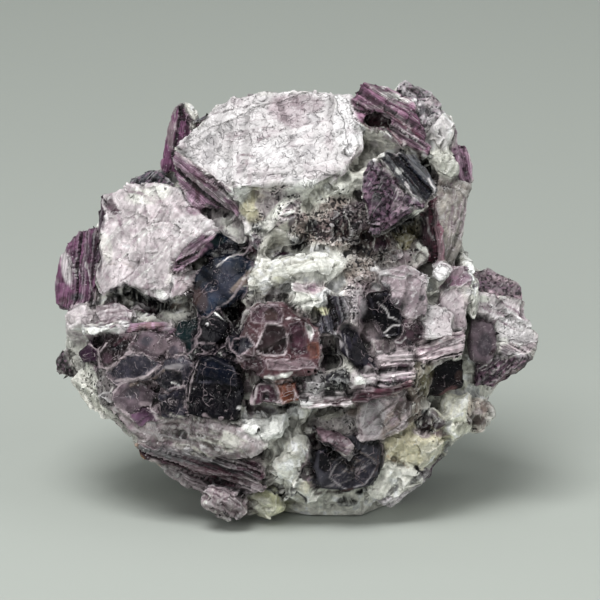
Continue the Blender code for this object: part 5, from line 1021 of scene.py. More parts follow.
def patched(colours, peppered, u, v, patches, seed, wander):
    """The colours and peppering with each spot laid over them, its border wavering."""
    places = np.column_stack([u, v])
    places += shifts(places, 2, (wander, 2.2, seed), (0.4 * wander, 0.7, seed + 2))
    for name, spot_u, spot_v, half_u, half_v, strength, *rest in patches:
        turn, thick = (*rest, 0.0, 0.0)[:2]
        away = places - (spot_u, spot_v)
        near = np.flatnonzero((np.abs(away) < 1.25 * max(half_u, half_v)).all(axis=1))
        cos_turn, sin_turn = math.cos(math.radians(turn)), math.sin(math.radians(turn))
        du, dv = away[near].T
        along = (du * cos_turn + dv * sin_turn) / half_u
        across = (dv * cos_turn - du * sin_turn) / half_v
        share = strength * np.clip((1.2 - np.hypot(along, across)) / 0.35, 0.0, 1.0)
        colours[near] = mix(colours[near], tones(name), share)
        peppered[near] = mix(peppered[near], thick, share)


def streaks_of(sheaves, chance):
    """The single streaks of each sheaf, as lines through three points."""
    streaks = []
    for name, half_width, strength, start, end, count, spread, bow in sheaves:
        start, end = np.array(start), np.array(end)
        run = end - start
        across = np.array((-run[1], run[0])) / np.linalg.norm(run)
        for _ in range(count):
            shares = (chance.uniform(*STREAK_START), 0.5, chance.uniform(*STREAK_END))
            aside = chance.uniform(-spread, spread)
            points = [start + share * run + across * (aside + bow * (1.0 - (2.0 * share - 1.0) ** 2)
                      + chance.gauss(0.0, STREAK_SHIFT)) for share in shares]
            streaks.append((name, half_width * chance.uniform(*STREAK_WIDTHS), strength, points))
    return streaks


def close_to(places, points, margin):
    """Which places lie in the box round these points or within a margin of it."""
    low, high = points.min(axis=0) - margin, points.max(axis=0) + margin
    return np.flatnonzero(((places > low) & (places < high)).all(axis=1))


def stroked(colours, u, v):
    """The colours with each line laid over them, its course wavering."""
    places = np.column_stack([u, v])
    places += shifts(places, 2, (0.16, 1.8, SEEDS["lines"]), (0.08, 0.6, SEEDS["lines"] + 2))
    streaks = streaks_of(SHEAVES, random.Random(SEEDS["streaks"]))
    for name, half_width, strength, points in (*streaks, *STROKES):
        points = np.array(points)
        near = close_to(places, points, 1.0)
        away = np.full(len(near), 9.0)
        for start, end in zip(points[:-1], points[1:]):
            away = np.minimum(away, run_distance(places[near], start, end))
        share = strength * np.clip((1.25 * half_width - away) / (0.6 * half_width), 0.0, 1.0)
        share *= np.clip(0.85 + 0.9 * waves(places[near], 0.6, SEEDS["line_gaps"]), 0.1, 1.0)
        colours[near] = mix(colours[near], tones(name), share)


def celled(colours, u, v):
    """Lays each angular cell and its pale rim over the colours; how far they sink or stand out."""
    dent = np.zeros(len(u))
    places = np.column_stack([u, v])
    places += shifts(places, 2, (0.1, 1.1, SEEDS["cells"]))
    for name, rim_name, rim_width, strength, outline in CELLS:
        outline = np.array(outline)
        near = close_to(places, outline, 0.5)
        inner = inside_outline(places[near], outline)
        fill = strength * np.clip(inner / 0.2, 0.0, 1.0)
        colours[near] = mix(colours[near], tones(name), fill)
        rim = np.clip((1.5 * rim_width - np.abs(inner)) / (0.9 * rim_width), 0.0, 1.0)
        frayed = np.clip(0.7 + 1.2 * waves(places[near], 0.9, SEEDS["cell_rims"]), 0.0, 1.0)
        rim = 0.85 * rim * frayed
        colours[near] = mix(colours[near], tones(rim_name), rim)
        dent[near] += CELL_RIM * rim - CELL_SINK * np.clip(inner / 0.4, 0.0, 1.0)
    return dent


def painted(colours, peppered, u, v, ahead):
    """The spots, cells and lines of the front, where the surface faces forward."""
    fresh, fresh_pepper = colours.copy(), peppered.copy()
    patched(fresh, fresh_pepper, u, v, SPOTS, SEEDS["spots"], 0.24)
    dent = celled(fresh, u, v)
    stroked(fresh, u, v)
    return mix(colours, fresh, ahead), mix(peppered, fresh_pepper, ahead), dent * ahead


def mottled(colours, world, amount, seed):
    """The colours made deeper and paler in patches of several sizes."""
    cloud = 0.4 * waves(world, 3.6, seed) + 0.45 * waves(world, 1.5, seed + 1)
    cloud += 0.35 * waves(world, 0.7, seed + 2)
    return np.clip(colours * np.exp(2.2 * amount * cloud)[:, None], 0.0, 0.9)


def anticlockwise(outline):
    """The outline, turned round if it runs clockwise."""
    after = np.roll(outline, -1, axis=0)
    area = np.sum(outline[:, 0] * after[:, 1] - outline[:, 1] * after[:, 0])
    return outline if area > 0.0 else outline[::-1]


def run_distance(places, start, end):
    """How far each place lies from a straight run."""
    run = end - start
    share = np.clip((places - start) @ run / max(run @ run, 1e-9), 0.0, 1.0)
    return np.linalg.norm(places - start - share[:, None] * run, axis=1)


def rim_distance(places, outline):
    """How far each place lies from the outline."""
    best = np.full(len(places), 1e9)
    for start, end in zip(outline, np.roll(outline, -1, axis=0)):
        best = np.minimum(best, run_distance(places, start, end))
    return best


def read_out(items, field, width=1, kind=float):
    """One field of each item of a mesh, in rows of this width."""
    values = np.zeros(len(items) * width, kind)
    items.foreach_get(field, values)
    return values.reshape(-1, width) if width > 1 else values


def coordinates(shape):
    """The mesh's points in mm."""
    return read_out(shape.data.vertices, "co", 3) / MM


def point_normals(shape):
    """Which way the surface faces at each point."""
    return read_out(shape.data.vertices, "normal", 3)


def face_centres(shape):
    """The middles of the mesh's faces in mm."""
    return read_out(shape.data.polygons, "center", 3) / MM


def face_points(shape):
    """The first point of each face."""
    starts = read_out(shape.data.polygons, "loop_start", 1, int)
    return read_out(shape.data.loops, "vertex_index", 1, int)[starts]


def pick(*shapes):
    """Selects these objects alone, the first of them as the active one."""
    bpy.ops.object.select_all(action="DESELECT")
    for shape in shapes:
        shape.select_set(True)
    bpy.context.view_layer.objects.active = shapes[0]


def place_points(shape, points):
    """Puts the mesh's points at these places in mm, and never past the solid's own box."""
    low, high = np.array(CAD_BOX)
    shape.data.vertices.foreach_set("co", np.clip(points * MM, low, high).ravel())
    shape.data.update()


def note(shape, name, kind, values):
    """Keeps a value for each point of the mesh, which its material reads."""
    field = {"FLOAT_COLOR": "color", "FLOAT_VECTOR": "vector", "FLOAT": "value"}[kind]
    if kind == "FLOAT_COLOR":
        values = np.column_stack([values, np.ones(len(values))])
    kept = shape.data.attributes.new(name, kind, "POINT")
    kept.data.foreach_set(field, values.ravel())


def bumpiness(shape, world, normals, rounds):
    """How far each point stands out of its surroundings (above zero) or lies in them, in mm."""
    first, second = read_out(shape.data.edges, "vertices", 2, int).T
    count = len(world)
    mates = np.bincount(first, minlength=count) + np.bincount(second, minlength=count)
    mates = np.maximum(mates, 1)
    smooth = world.copy()
    for _ in range(rounds):
        total = [np.bincount(first, smooth[second, axis], count)
                 + np.bincount(second, smooth[first, axis], count) for axis in range(3)]
        smooth = np.column_stack(total) / mates[:, None]
    return ((world - smooth) * normals).sum(axis=1)


def inside_outline(places, outline):
    """How far inside the outline each place lies, and below zero how far outside."""
    within = np.zeros(len(places), bool)
    for start, end in zip(outline, np.roll(outline, -1, axis=0)):
        spans = (start[1] > places[:, 1]) != (end[1] > places[:, 1])
        rise = end[1] - start[1] if end[1] != start[1] else 1e-9
        crossing = start[0] + (places[:, 1] - start[1]) * (end[0] - start[0]) / rise
        within ^= spans & (places[:, 0] < crossing)
    return rim_distance(places, outline) * np.where(within, 1.0, -1.0)


def stepped(places, width, chance, count, height):
    """Cleavage steps: beyond each wavering line the face lies a little higher or lower."""
    rise = np.zeros(len(places))
    shade = np.zeros(len(places))
    for _ in range(count):
        angle = math.pi / 3.0 * chance.randrange(6) + chance.gauss(0.0, 0.25)
        aim = np.array((math.cos(angle), math.sin(angle)))
        waver = 0.3 * waves(places, 1.6, chance.randrange(9999))
        beyond = places @ aim + waver > chance.uniform(-0.36, 0.36) * width
        rise += np.where(beyond, chance.uniform(-height, height), 0.0)
        shade += np.where(beyond, chance.uniform(-0.5, 0.5), 0.0)
        rise += np.where(beyond, places @ aim, 0.0) * chance.uniform(-0.02, 0.02)
    return rise, shade


def face_relief(kind, places, width, chance):
    """The height and shade of each place on a flat face, from its steps and swells."""
    seed = chance.randrange(9999)
    count = max(1, min(7, round(width / 2.2)))
    rise, shade = stepped(places, width, chance, count, STEP_HEIGHT)
    if kind == "foil":
        rise = rise * 0.7
    rise += sum(height * waves(places, size, seed + k)
                for k, (height, size) in enumerate(SWELLS.get(kind, PLAIN_SWELLS)))
    if kind == "foil":
        rise -= 0.1 * np.clip(1.0 - np.abs(waves(places, 1.1, seed + 2)) * 6.0, 0.0, 1.0)
    return np.clip(rise - rise.mean(), *FACE_RELIEF), shade


def edge_relief(places, chance):
    """The height and shade of each place on a split edge, sheet by sheet."""
    along, across = places.T
    starts = [across.min() - 0.3]
    while starts[-1] < across.max() + 0.3:
        starts.append(starts[-1] + chance.choice(SHEET_THICKNESSES))
    bent = across + 0.35 * waves(along[:, None], 4.0, chance.randrange(9999))
    sheet = np.clip(np.searchsorted(starts, bent), 0, len(starts) - 1)
    heights = np.array([chance.uniform(-0.24, 0.34) for _ in starts])
    shades = np.array([chance.choice(SHEET_SHADES) for _ in starts])
    ends = np.array([[chance.expovariate(1.6) for _ in starts] for _ in range(2)])
    short = (along - along.min() < ends[0][sheet]) | (along.max() - along < ends[1][sheet])
    rise = heights[sheet] - 0.2 * short + 0.06 * waves(places, 0.7, chance.randrange(9999))
    return np.clip(rise, *EDGE_RELIEF), shades[sheet]


def shaded(colours, shade, wear, gloom):
    """Colours painted paler (wear and highlight) where shade is above zero, deeper (shade) where
    below.
    """
    pale = (np.clip(shade, 0.0, 1.0) * wear)[:, None]
    deep = (np.clip(-shade, 0.0, 1.4) * gloom)[:, None]
    return (colours * (1.0 - pale) + (0.55 + 0.45 * colours) * pale) * (1.0 - deep)


def book(name, kind, tone, points, normal, along):
    """A book of mica: its kind and tone, its face's own axes and its outline on them."""
    centre = points.mean(axis=0)
    axis_x = unit(along - (along @ normal) * normal)
    axis_y = np.cross(normal, axis_x)
    outline = np.column_stack([(points - centre) @ axis_x, (points - centre) @ axis_y])
    return {
        "name": name, "kind": kind, "tone": tone, "centre": centre,
        "axes": np.column_stack([axis_x, axis_y, normal]), "outline": anticlockwise(outline),
    }


def core_reach(angle):
    """How far the core's outline lies from its centre in a direction."""
    aim = np.array((math.cos(angle), math.sin(angle)))
    best = 0.0
    for start, end in zip(np.roll(CORE_OUTLINE, 1, axis=0), CORE_OUTLINE):
        corner = start - CORE_CENTRE
        run = end - start
        turn = aim[0] * run[1] - aim[1] * run[0]
        if abs(turn) < 1e-9:
            continue
        distance = (corner[0] * run[1] - corner[1] * run[0]) / turn
        share = (corner[0] * aim[1] - corner[1] * aim[0]) / turn
        if -1e-6 <= share <= 1.0 + 1e-6 and distance > best:
            best = distance
    return best


def core_point(spoke, tilt):
    """A point of the core: spoke turns round the outline, tilt runs from back (-1) to front (1)."""
    angle = tilt * math.pi / 2.0
    reach = core_reach(spoke) * math.cos(angle) ** (2.0 / CORE_FULLNESS)
    bulge = CORE_FRONT if tilt > 0.0 else CORE_BACK
    u, v = CORE_CENTRE + reach * np.array((math.cos(spoke), math.sin(spoke)))
    return at(u, v, bulge * math.sin(angle))


def beyond_outline(point):
    """Whether a place would be seen past the core's outline."""
    u, v, _ = seen(point[None, :])
    right, up = u[0] - CORE_CENTRE[0], v[0] - CORE_CENTRE[1]
    return math.hypot(right, up) > core_reach(math.atan2(up, right)) + BACK_OVERHANG


def back_books():
    """The outlines of the books over the back, the top and the underside, and where each faces."""
    chance = random.Random(BACK_SEED)
    centre = at(*CORE_CENTRE, 0.0)
    golden = math.pi * (3.0 - math.sqrt(5.0))
    books = []
    for i in range(BACK_BOOKS):
        height = -1.0 + BACK_REACH * i / (BACK_BOOKS - 1)
        tilt = math.asin(height) / (math.pi / 2.0)
        place = core_point(i * golden, tilt)
        lean = np.array([chance.gauss(0.0, BACK_LEAN) for _ in range(3)])
        normal = unit(unit(place - centre) + lean)
        across = unit(np.cross(normal, BACK_SIDE_HINT))
        upward = np.cross(normal, across) * BACK_FLATNESS
        size = chance.uniform(*BACK_SIZE)
        corners = chance.choice(BACK_CORNERS)
        start = chance.uniform(0.0, math.tau)
        outline = []
        for k in range(corners):
            turn = k + chance.uniform(-BACK_CORNER_SHIFT, BACK_CORNER_SHIFT)
            angle = start + math.tau * turn / corners
            reach = size * chance.uniform(*BACK_RAGGEDNESS)
            outline.append(place + (across * math.cos(angle) + upward * math.sin(angle)) * reach)
        outline = np.array(outline) + normal * chance.uniform(*BACK_STAND)
        for _ in range(BACK_SHRINKS):
            if any(beyond_outline(p) for p in outline):
                outline = place + (outline - place) * BACK_SHRINK
        if not any(beyond_outline(p) for p in outline):
            books.append((outline, normal))
    return books


def feldspar_colours(world, normals):
    """The colours of the feldspar: placed one by one on the front, in drifts over the rest."""
    u, v, depth = seen(world)
    drift = waves(world, 9.0, SEEDS["drifts"]) + 0.5 * waves(world, 3.5, SEEDS["drifts"] + 1)
    back = tones("albite", len(world))
    pepper = np.full(len(world), BACK_PEPPER)
    for tone, low, high, thick in DRIFTS:
        share = np.clip((drift - low) / (high - low), 0.0, 1.0)
        back = mix(back, tones(tone), share)
        pepper = mix(pepper, thick, share)
    front, front_pepper = tones("albite", len(world)), np.full(len(world), FRONT_PEPPER)
    patched(front, front_pepper, u, v, ROCK_PATCHES, SEEDS["rock_patches"], 0.6)
    facing = np.clip((normals @ TOWARDS + 0.35 + depth / 30.0) / 0.4, 0.0, 1.0)
    return mix(back, front, facing), mix(pepper, front_pepper, facing)


def refine(shape, voxel):
    """Cuts the closed mesh anew into small squares."""
    fine = shape.modifiers.new("Fine", "REMESH")
    fine.mode = "VOXEL"
    fine.voxel_size = voxel * MM
    bpy.ops.object.modifier_apply(modifier=fine.name)


def swell(shape, distance):
    """Moves the surface outwards by this many mm."""
    grown = shape.modifiers.new("Grown", "DISPLACE")
    grown.strength = distance * MM
    grown.mid_level = 0.0
    bpy.ops.object.modifier_apply(modifier=grown.name)


def chip_forms(chance):
    """A few small worn hexagons of mica, each of two sheets."""
    forms = []
    for i in range(CHIP_FORMS):
        bpy.ops.object.select_all(action="DESELECT")
        bpy.ops.mesh.primitive_circle_add(
            vertices=chance.choice(CHIP_CORNERS), radius=MM, fill_type="NGON"
        )
        form = bpy.context.active_object
        form.name = f"chip_form_{i}"
        for corner in form.data.vertices:
            corner.co *= chance.uniform(*CHIP_RAGGEDNESS)
            corner.co.z += chance.uniform(0.0, CHIP_CURL) * MM
        bpy.ops.object.mode_set(mode="EDIT")
        bpy.ops.mesh.select_all(action="SELECT")
        for sheet, wider in zip(CHIP_SHEETS, (CHIP_OVERLAP, None)):
            down = (0.0, 0.0, -sheet * MM)
            bpy.ops.mesh.extrude_region_move(TRANSFORM_OT_translate={"value": down})
            if wider:
                bpy.ops.transform.resize(value=wider)
        bpy.ops.mesh.select_all(action="SELECT")
        bpy.ops.mesh.normals_make_consistent(inside=False)
        bpy.ops.object.mode_set(mode="OBJECT")
        forms.append(form)
    return forms


def scatter_chips(name, skin, count, forms, finish, chance):
    """Chips strewn over a skin, more where it is mauve and few where it is clean feldspar."""
    centres = face_centres(skin)
    corner = face_points(skin)
    tints = read_out(skin.data.attributes["tint"].data, "color", 4)[corner, :3]
    facing = point_normals(skin)[corner]
    _, _, depths = seen(centres)
    mauve = np.clip((tints[:, 0] - tints[:, 1]) / tints.mean(axis=1) * 4.0, 0.0, 1.0)
    wanted = CHIPS_ON_CLEAN + (1.0 - CHIPS_ON_CLEAN) * mauve
    wanted *= centres[:, 2] > LOWEST_CHIP
    heap = np.cumsum(wanted)
    chips = []
    for i in range(count):
        k = int(np.searchsorted(heap, chance.uniform(0.0, heap[-1])))
        lean = np.array([chance.gauss(0.0, CHIP_TILT) for _ in range(3)])
        normal = unit(unit(facing[k] + 0.3 * TOWARDS * (depths[k] > 0.0)) + lean)
        across = unit(np.cross(normal, np.array([chance.gauss(0.0, 1.0) for _ in range(3)])))
        radius = CHIP_RADIUS[0] + (CHIP_RADIUS[1] - CHIP_RADIUS[0]) * chance.random() ** 2.0
        stretch = chance.uniform(*CHIP_STRETCH)
        upward = np.cross(normal, across) * radius * stretch
        turn = Matrix(np.column_stack([across * radius, upward, normal]).tolist()).to_4x4()
        turn.translation = Vector((centres[k] + normal * chance.uniform(*CHIP_STAND)) * MM)
        form = forms[i % len(forms)]
        chip = bpy.data.objects.new(f"{name}_{i:04d}", form.data.copy())
        bpy.context.scene.collection.objects.link(chip)
        chip.data.transform(turn)
        points = coordinates(chip)
        place_points(chip, points)
        tone = tints[k] * chance.choice(CHIP_SHADES)
        if chance.random() < SILVERY_CHIPS:
            tone = 0.6 * tone + 0.4 * tones(chance.choice(SILVERY_TONES))[0]
        note(chip, "tint", "FLOAT_COLOR", np.tile(np.clip(tone, 0.0, 0.9), (len(points), 1)))
        note(chip, "grain", "FLOAT_VECTOR", points)
        note(chip, "rim", "FLOAT", np.ones(len(points)))
        chips.append(chip)
    return joined(name, chips, finish)


def fill(skin):
    """Adds the small fillings to the skin, before it is cut anew."""
    for u, v, depth, radius in FILLINGS:
        bpy.ops.mesh.primitive_ico_sphere_add(
            subdivisions=2, radius=radius * MM, location=Vector(at(u, v, depth)) * MM
        )
        pick(skin, bpy.context.active_object)
        bpy.ops.object.join()


def half_skin(name, voxel, depth, front):
    """Half of the solid's own form, cut fine: the half before or behind the plane at this depth."""
    skin = bpy.data.objects.new(name, frame["nodes"][STONE].data.copy())
    bpy.context.scene.collection.objects.link(skin)
    pick(skin)
    bpy.ops.object.mode_set(mode="EDIT")
    bpy.ops.mesh.select_all(action="SELECT")
    bpy.ops.mesh.remove_doubles(threshold=1e-6)
    bpy.ops.mesh.bisect(
        plane_co=at(*CORE_CENTRE, depth) * MM, plane_no=TOWARDS, use_fill=True,
        clear_inner=front, clear_outer=not front,
    )
    bpy.ops.object.mode_set(mode="OBJECT")
    if front:
        fill(skin)
    refine(skin, voxel * 1.4)
    swell(skin, CLOSED_GAP)
    refine(skin, voxel)
    swell(skin, -CLOSED_GAP)
    _, _, depths = seen(face_centres(skin))
    skin.data.polygons.foreach_set("select", np.abs(depths - depth) < 0.5 * voxel)
    bpy.ops.object.mode_set(mode="EDIT")
    bpy.ops.mesh.select_mode(type="FACE")
    bpy.ops.mesh.dissolve_faces()
    bpy.ops.mesh.poke()
    bpy.ops.object.mode_set(mode="OBJECT")
    return skin


def front_books():
    """The books of the front, from their tables."""
    books = []
    along = math.cos(PLATE_ANGLE) * RIGHT + math.sin(PLATE_ANGLE) * UP
    for name, kind, tone, depth, facing, outline in PLATES:
        points = on_face(outline, depth, facing)
        books.append(book(name, kind, tone, points, direction(facing), along))
    for name, tone, depth, facing, splits, outline in EDGES:
        along = splits[0] * RIGHT + splits[1] * UP
        points = on_face(outline, depth, facing)
        books.append(book(name, "edge", tone, points, direction(facing), along))
    return books


def rear_books():
    """The books of the back, with their kinds in turn."""
    chance = random.Random(SEEDS["rear_books"])
    books = []
    for i, (points, normal) in enumerate(back_books()):
        kind, tone = BACK_LOOKS[i % len(BACK_LOOKS)]
        along = np.array([chance.gauss(0.0, 1.0) for _ in range(3)])
        books.append(book(f"back_book_{i:02d}", kind, tone, points, normal, along))
    return books


def shares(world, books):
    """Which book each point belongs to (-1: none), and how far it lies from a border."""
    count = len(world)
    wander = shifts(world, 3, *BORDER_WANDER)
    best, second = np.full(count, 0.0), np.full(count, 0.0)
    reach = np.full(count, -9.0)
    owner = np.full(count, -1)
    for index, item in enumerate(books):
        span = np.linalg.norm(item["outline"], axis=1).max() + SIGHT
        near = np.flatnonzero(((world - item["centre"]) ** 2).sum(axis=1) < span * span)
        local = (world[near] - item["centre"]) @ item["axes"]
        height = local[:, 2]
        local = (world[near] + wander[near] - item["centre"]) @ item["axes"]
        inside = inside_outline(local[:, :2], item["outline"])
        inside += HABITS[item["kind"]].growth
        score = np.minimum(inside, FULL_REACH)
        score = score - STEP_PENALTY * np.maximum(np.abs(height) - FACE_TOLERANCE, 0.0)
        wins = score > best[near]
        second[near] = np.where(wins, best[near], np.maximum(second[near], score))
        best[near] = np.where(wins, score, best[near])
        owner[near] = np.where(wins, index, owner[near])
        reach[near] = np.where(wins, inside, np.maximum(reach[near], inside))
    border = np.minimum((best - second) / 2.0 + np.where(reach > FULL_REACH, 0.4, 0.0), best)
    return owner, np.maximum(border, 0.0)


def dress(skin, books):
    """Gives the skin its relief and colour: book by book, and feldspar between them."""
    world = coordinates(skin)
    normals = point_normals(skin)
    u, v, depth = seen(world)
    owner, border = shares(world, books)
    places = [index for index, item in enumerate(books) if item["name"] in ONE_LEAF]
    owner[np.isin(owner, places)] = max(places, default=-1)
    warp = shifts(world, 3, (1.0, 1.2, SEEDS["warp"]))
    broad_lift, broad_value = facets(world + 0.5 * warp, BROAD_FACET, SEEDS["broad_facets"])
    fine_lift, fine_value = facets(world + 0.3 * warp, FINE_FACET, SEEDS["fine_facets"])
    broken = 0.7 * broad_lift + 0.32 * fine_lift
    glint = 0.5 * broad_value + 0.5 * fine_value
    plain = HABITS["rock"]
    ridges = np.abs(waves(world, 4.0, SEEDS["ridges"]))
    rise = SKIN_RELIEF * (0.5 * waves(world, 1.9, SEEDS["swells"]) - 0.4 * ridges)
    rise += plain.broken * broken
    rock, pepper = feldspar_colours(world, normals)
    colours = mottled(rock, world, plain.mottle, SEEDS["rock"])
    shade = 0.22 * glint
    grain = world.copy()
    rim = np.full(len(world), FAR_FROM_RIM)
    kind_of = np.full(len(world), KINDS.index("rock"))
    wear = np.full(len(world), plain.wear)
    gloom = np.full(len(world), plain.gloom)
    calm = np.full(len(world), plain.calm)
    crumbs = 0.15 + 0.6 * waves(world, 1.6, SEEDS["crumbs"])
    crumbs += 0.5 * waves(world, 0.7, SEEDS["crumbs"] + 1)
    seam_u, seam_foot, seam_head, seam_half = HEALED_SEAM
    healed = (np.abs(u - seam_u) < seam_half) & (v > seam_foot) & (v < seam_head) & (depth > 0.0)
    split = np.where(healed, FAR_FROM_RIM, border)
    for index, item in enumerate(books):
        mine = np.flatnonzero(owner == index)
        if len(mine) < 3:
            continue
        chance = random.Random(index + SEEDS["book_faces"])
        kind = item["kind"]
        habit = HABITS[kind]
        local = (world[mine] - item["centre"]) @ item["axes"]
        flat = local[:, :2]
        width = 2.0 * np.linalg.norm(item["outline"], axis=1).mean()
        if kind == "edge":
            lift, tone_shift = edge_relief(flat, chance)
            tone_shift = tone_shift * SHEET_CONTRAST
        else:
            lift, tone_shift = face_relief(kind, flat, width, chance)
            tilt = np.array([chance.gauss(0.0, FACE_TILT) for _ in range(2)])
            lift = lift + np.clip(flat @ tilt, -0.4, 0.4)
            tone_shift = tone_shift * STEP_CONTRAST
        fade = np.clip(split[mine] / FADE_WIDTH, 0.0, 1.0)
        crust = np.exp(-((split[mine] / CRUST_REACH) ** 2)) * np.clip(crumbs[mine], -0.2, 1.0)
        lift = lift + habit.broken * broken[mine]
        tone_shift = tone_shift + habit.broken * 0.5 * glint[mine]
        rise[mine] = mix(rise[mine], lift, fade) + CRUST_HEIGHT * crust
        own = mottled(tones(item["tone"], len(mine)), world[mine], habit.mottle, SEEDS["books"])
        frayed = 1.1 * waves(world[mine], 1.3, SEEDS["worn"])
        worn = np.clip(0.7 - split[mine] / WORN_WIDTH + frayed, 0.0, 1.0) * MOST_WORN
        colours[mine] = mix(own, colours[mine], worn)
        shade[mine] = tone_shift * fade
        start = np.array([chance.uniform(-GRAIN_START, GRAIN_START) for _ in range(3)])
        grain[mine] = local + start
        rim[mine] = split[mine]
        calm[mine] = habit.calm * np.clip(split[mine] / CALM_WIDTH, 0.0, 1.0)
        wear[mine] = habit.wear
        gloom[mine] = habit.gloom
        kind_of[mine] = KINDS.index(kind)
    for name, beyond in (("rock_left", u < ROCK_PARTS[0]), ("rock_right", u > ROCK_PARTS[1])):
        kind_of[beyond & (kind_of == KINDS.index("rock"))] = KINDS.index(name)
    ahead = np.clip((normals @ TOWARDS + 0.3) / 0.4, 0.0, 1.0)
    ahead *= np.clip((depth + 9.0) / 3.0, 0.0, 1.0)
    colours, pepper, dent = painted(colours, pepper, u, v, ahead)
    rise += dent
    foot = np.clip(world[:, 2] / FOOT_HEIGHT, 0.0, 1.0)[:, None]
    bend = shifts(world, 3, *BENDS)
    world += (normals * (rise - SKIN_INSET)[:, None] + bend * (1.0 - calm[:, None])) * foot
    place_points(skin, world)
    normals = point_normals(skin)
    # Painted light and shade: points that stand out of their surroundings are painted paler, points
    # in hollows deeper.
    stand = sum(weight * bumpiness(skin, world, normals, rounds) for weight, rounds in STANDING_OUT)
    shade = np.clip(stand + 0.02 + shade, -1.4, 0.9)
    note(skin, "tint", "FLOAT_COLOR", shaded(colours, shade, wear, gloom))
    note(skin, "grain", "FLOAT_VECTOR", grain)
    note(skin, "pepper", "FLOAT", pepper)
    note(skin, "rim", "FLOAT", rim)
    return kind_of


def parted(skin, kind_of):
    """The skin's faces as one object for each kind of mica and one for the feldspar."""
    marks = skin.data.attributes.new("kind", "INT", "FACE")
    marks.data.foreach_set("value", kind_of[face_points(skin)])
    parts = {}
    for index, kind in enumerate(KINDS):
        if kind == "rock":
            continue
        marks = read_out(skin.data.attributes["kind"].data, "value", 1, int)
        if not (marks == index).any():
            continue
        before = set(bpy.data.objects)
        pick(skin)
        skin.data.polygons.foreach_set("select", marks == index)
        bpy.ops.object.mode_set(mode="EDIT")
        bpy.ops.mesh.select_mode(type="FACE")
        bpy.ops.mesh.separate(type="SELECTED")
        bpy.ops.object.mode_set(mode="OBJECT")
        parts[kind] = (set(bpy.data.objects) - before).pop()
    parts["rock"] = skin
    return parts


def joined(name, shapes, finish):
    """Several meshes as one piece with one finish."""
    pick(*shapes)
    if len(shapes) > 1:
        bpy.ops.object.join()
    piece = bpy.context.view_layer.objects.active
    piece.name = name
    piece.data.name = name
    piece.data.materials.clear()
    piece.data.materials.append(finish)
    piece.data.shade_flat()
    return piece


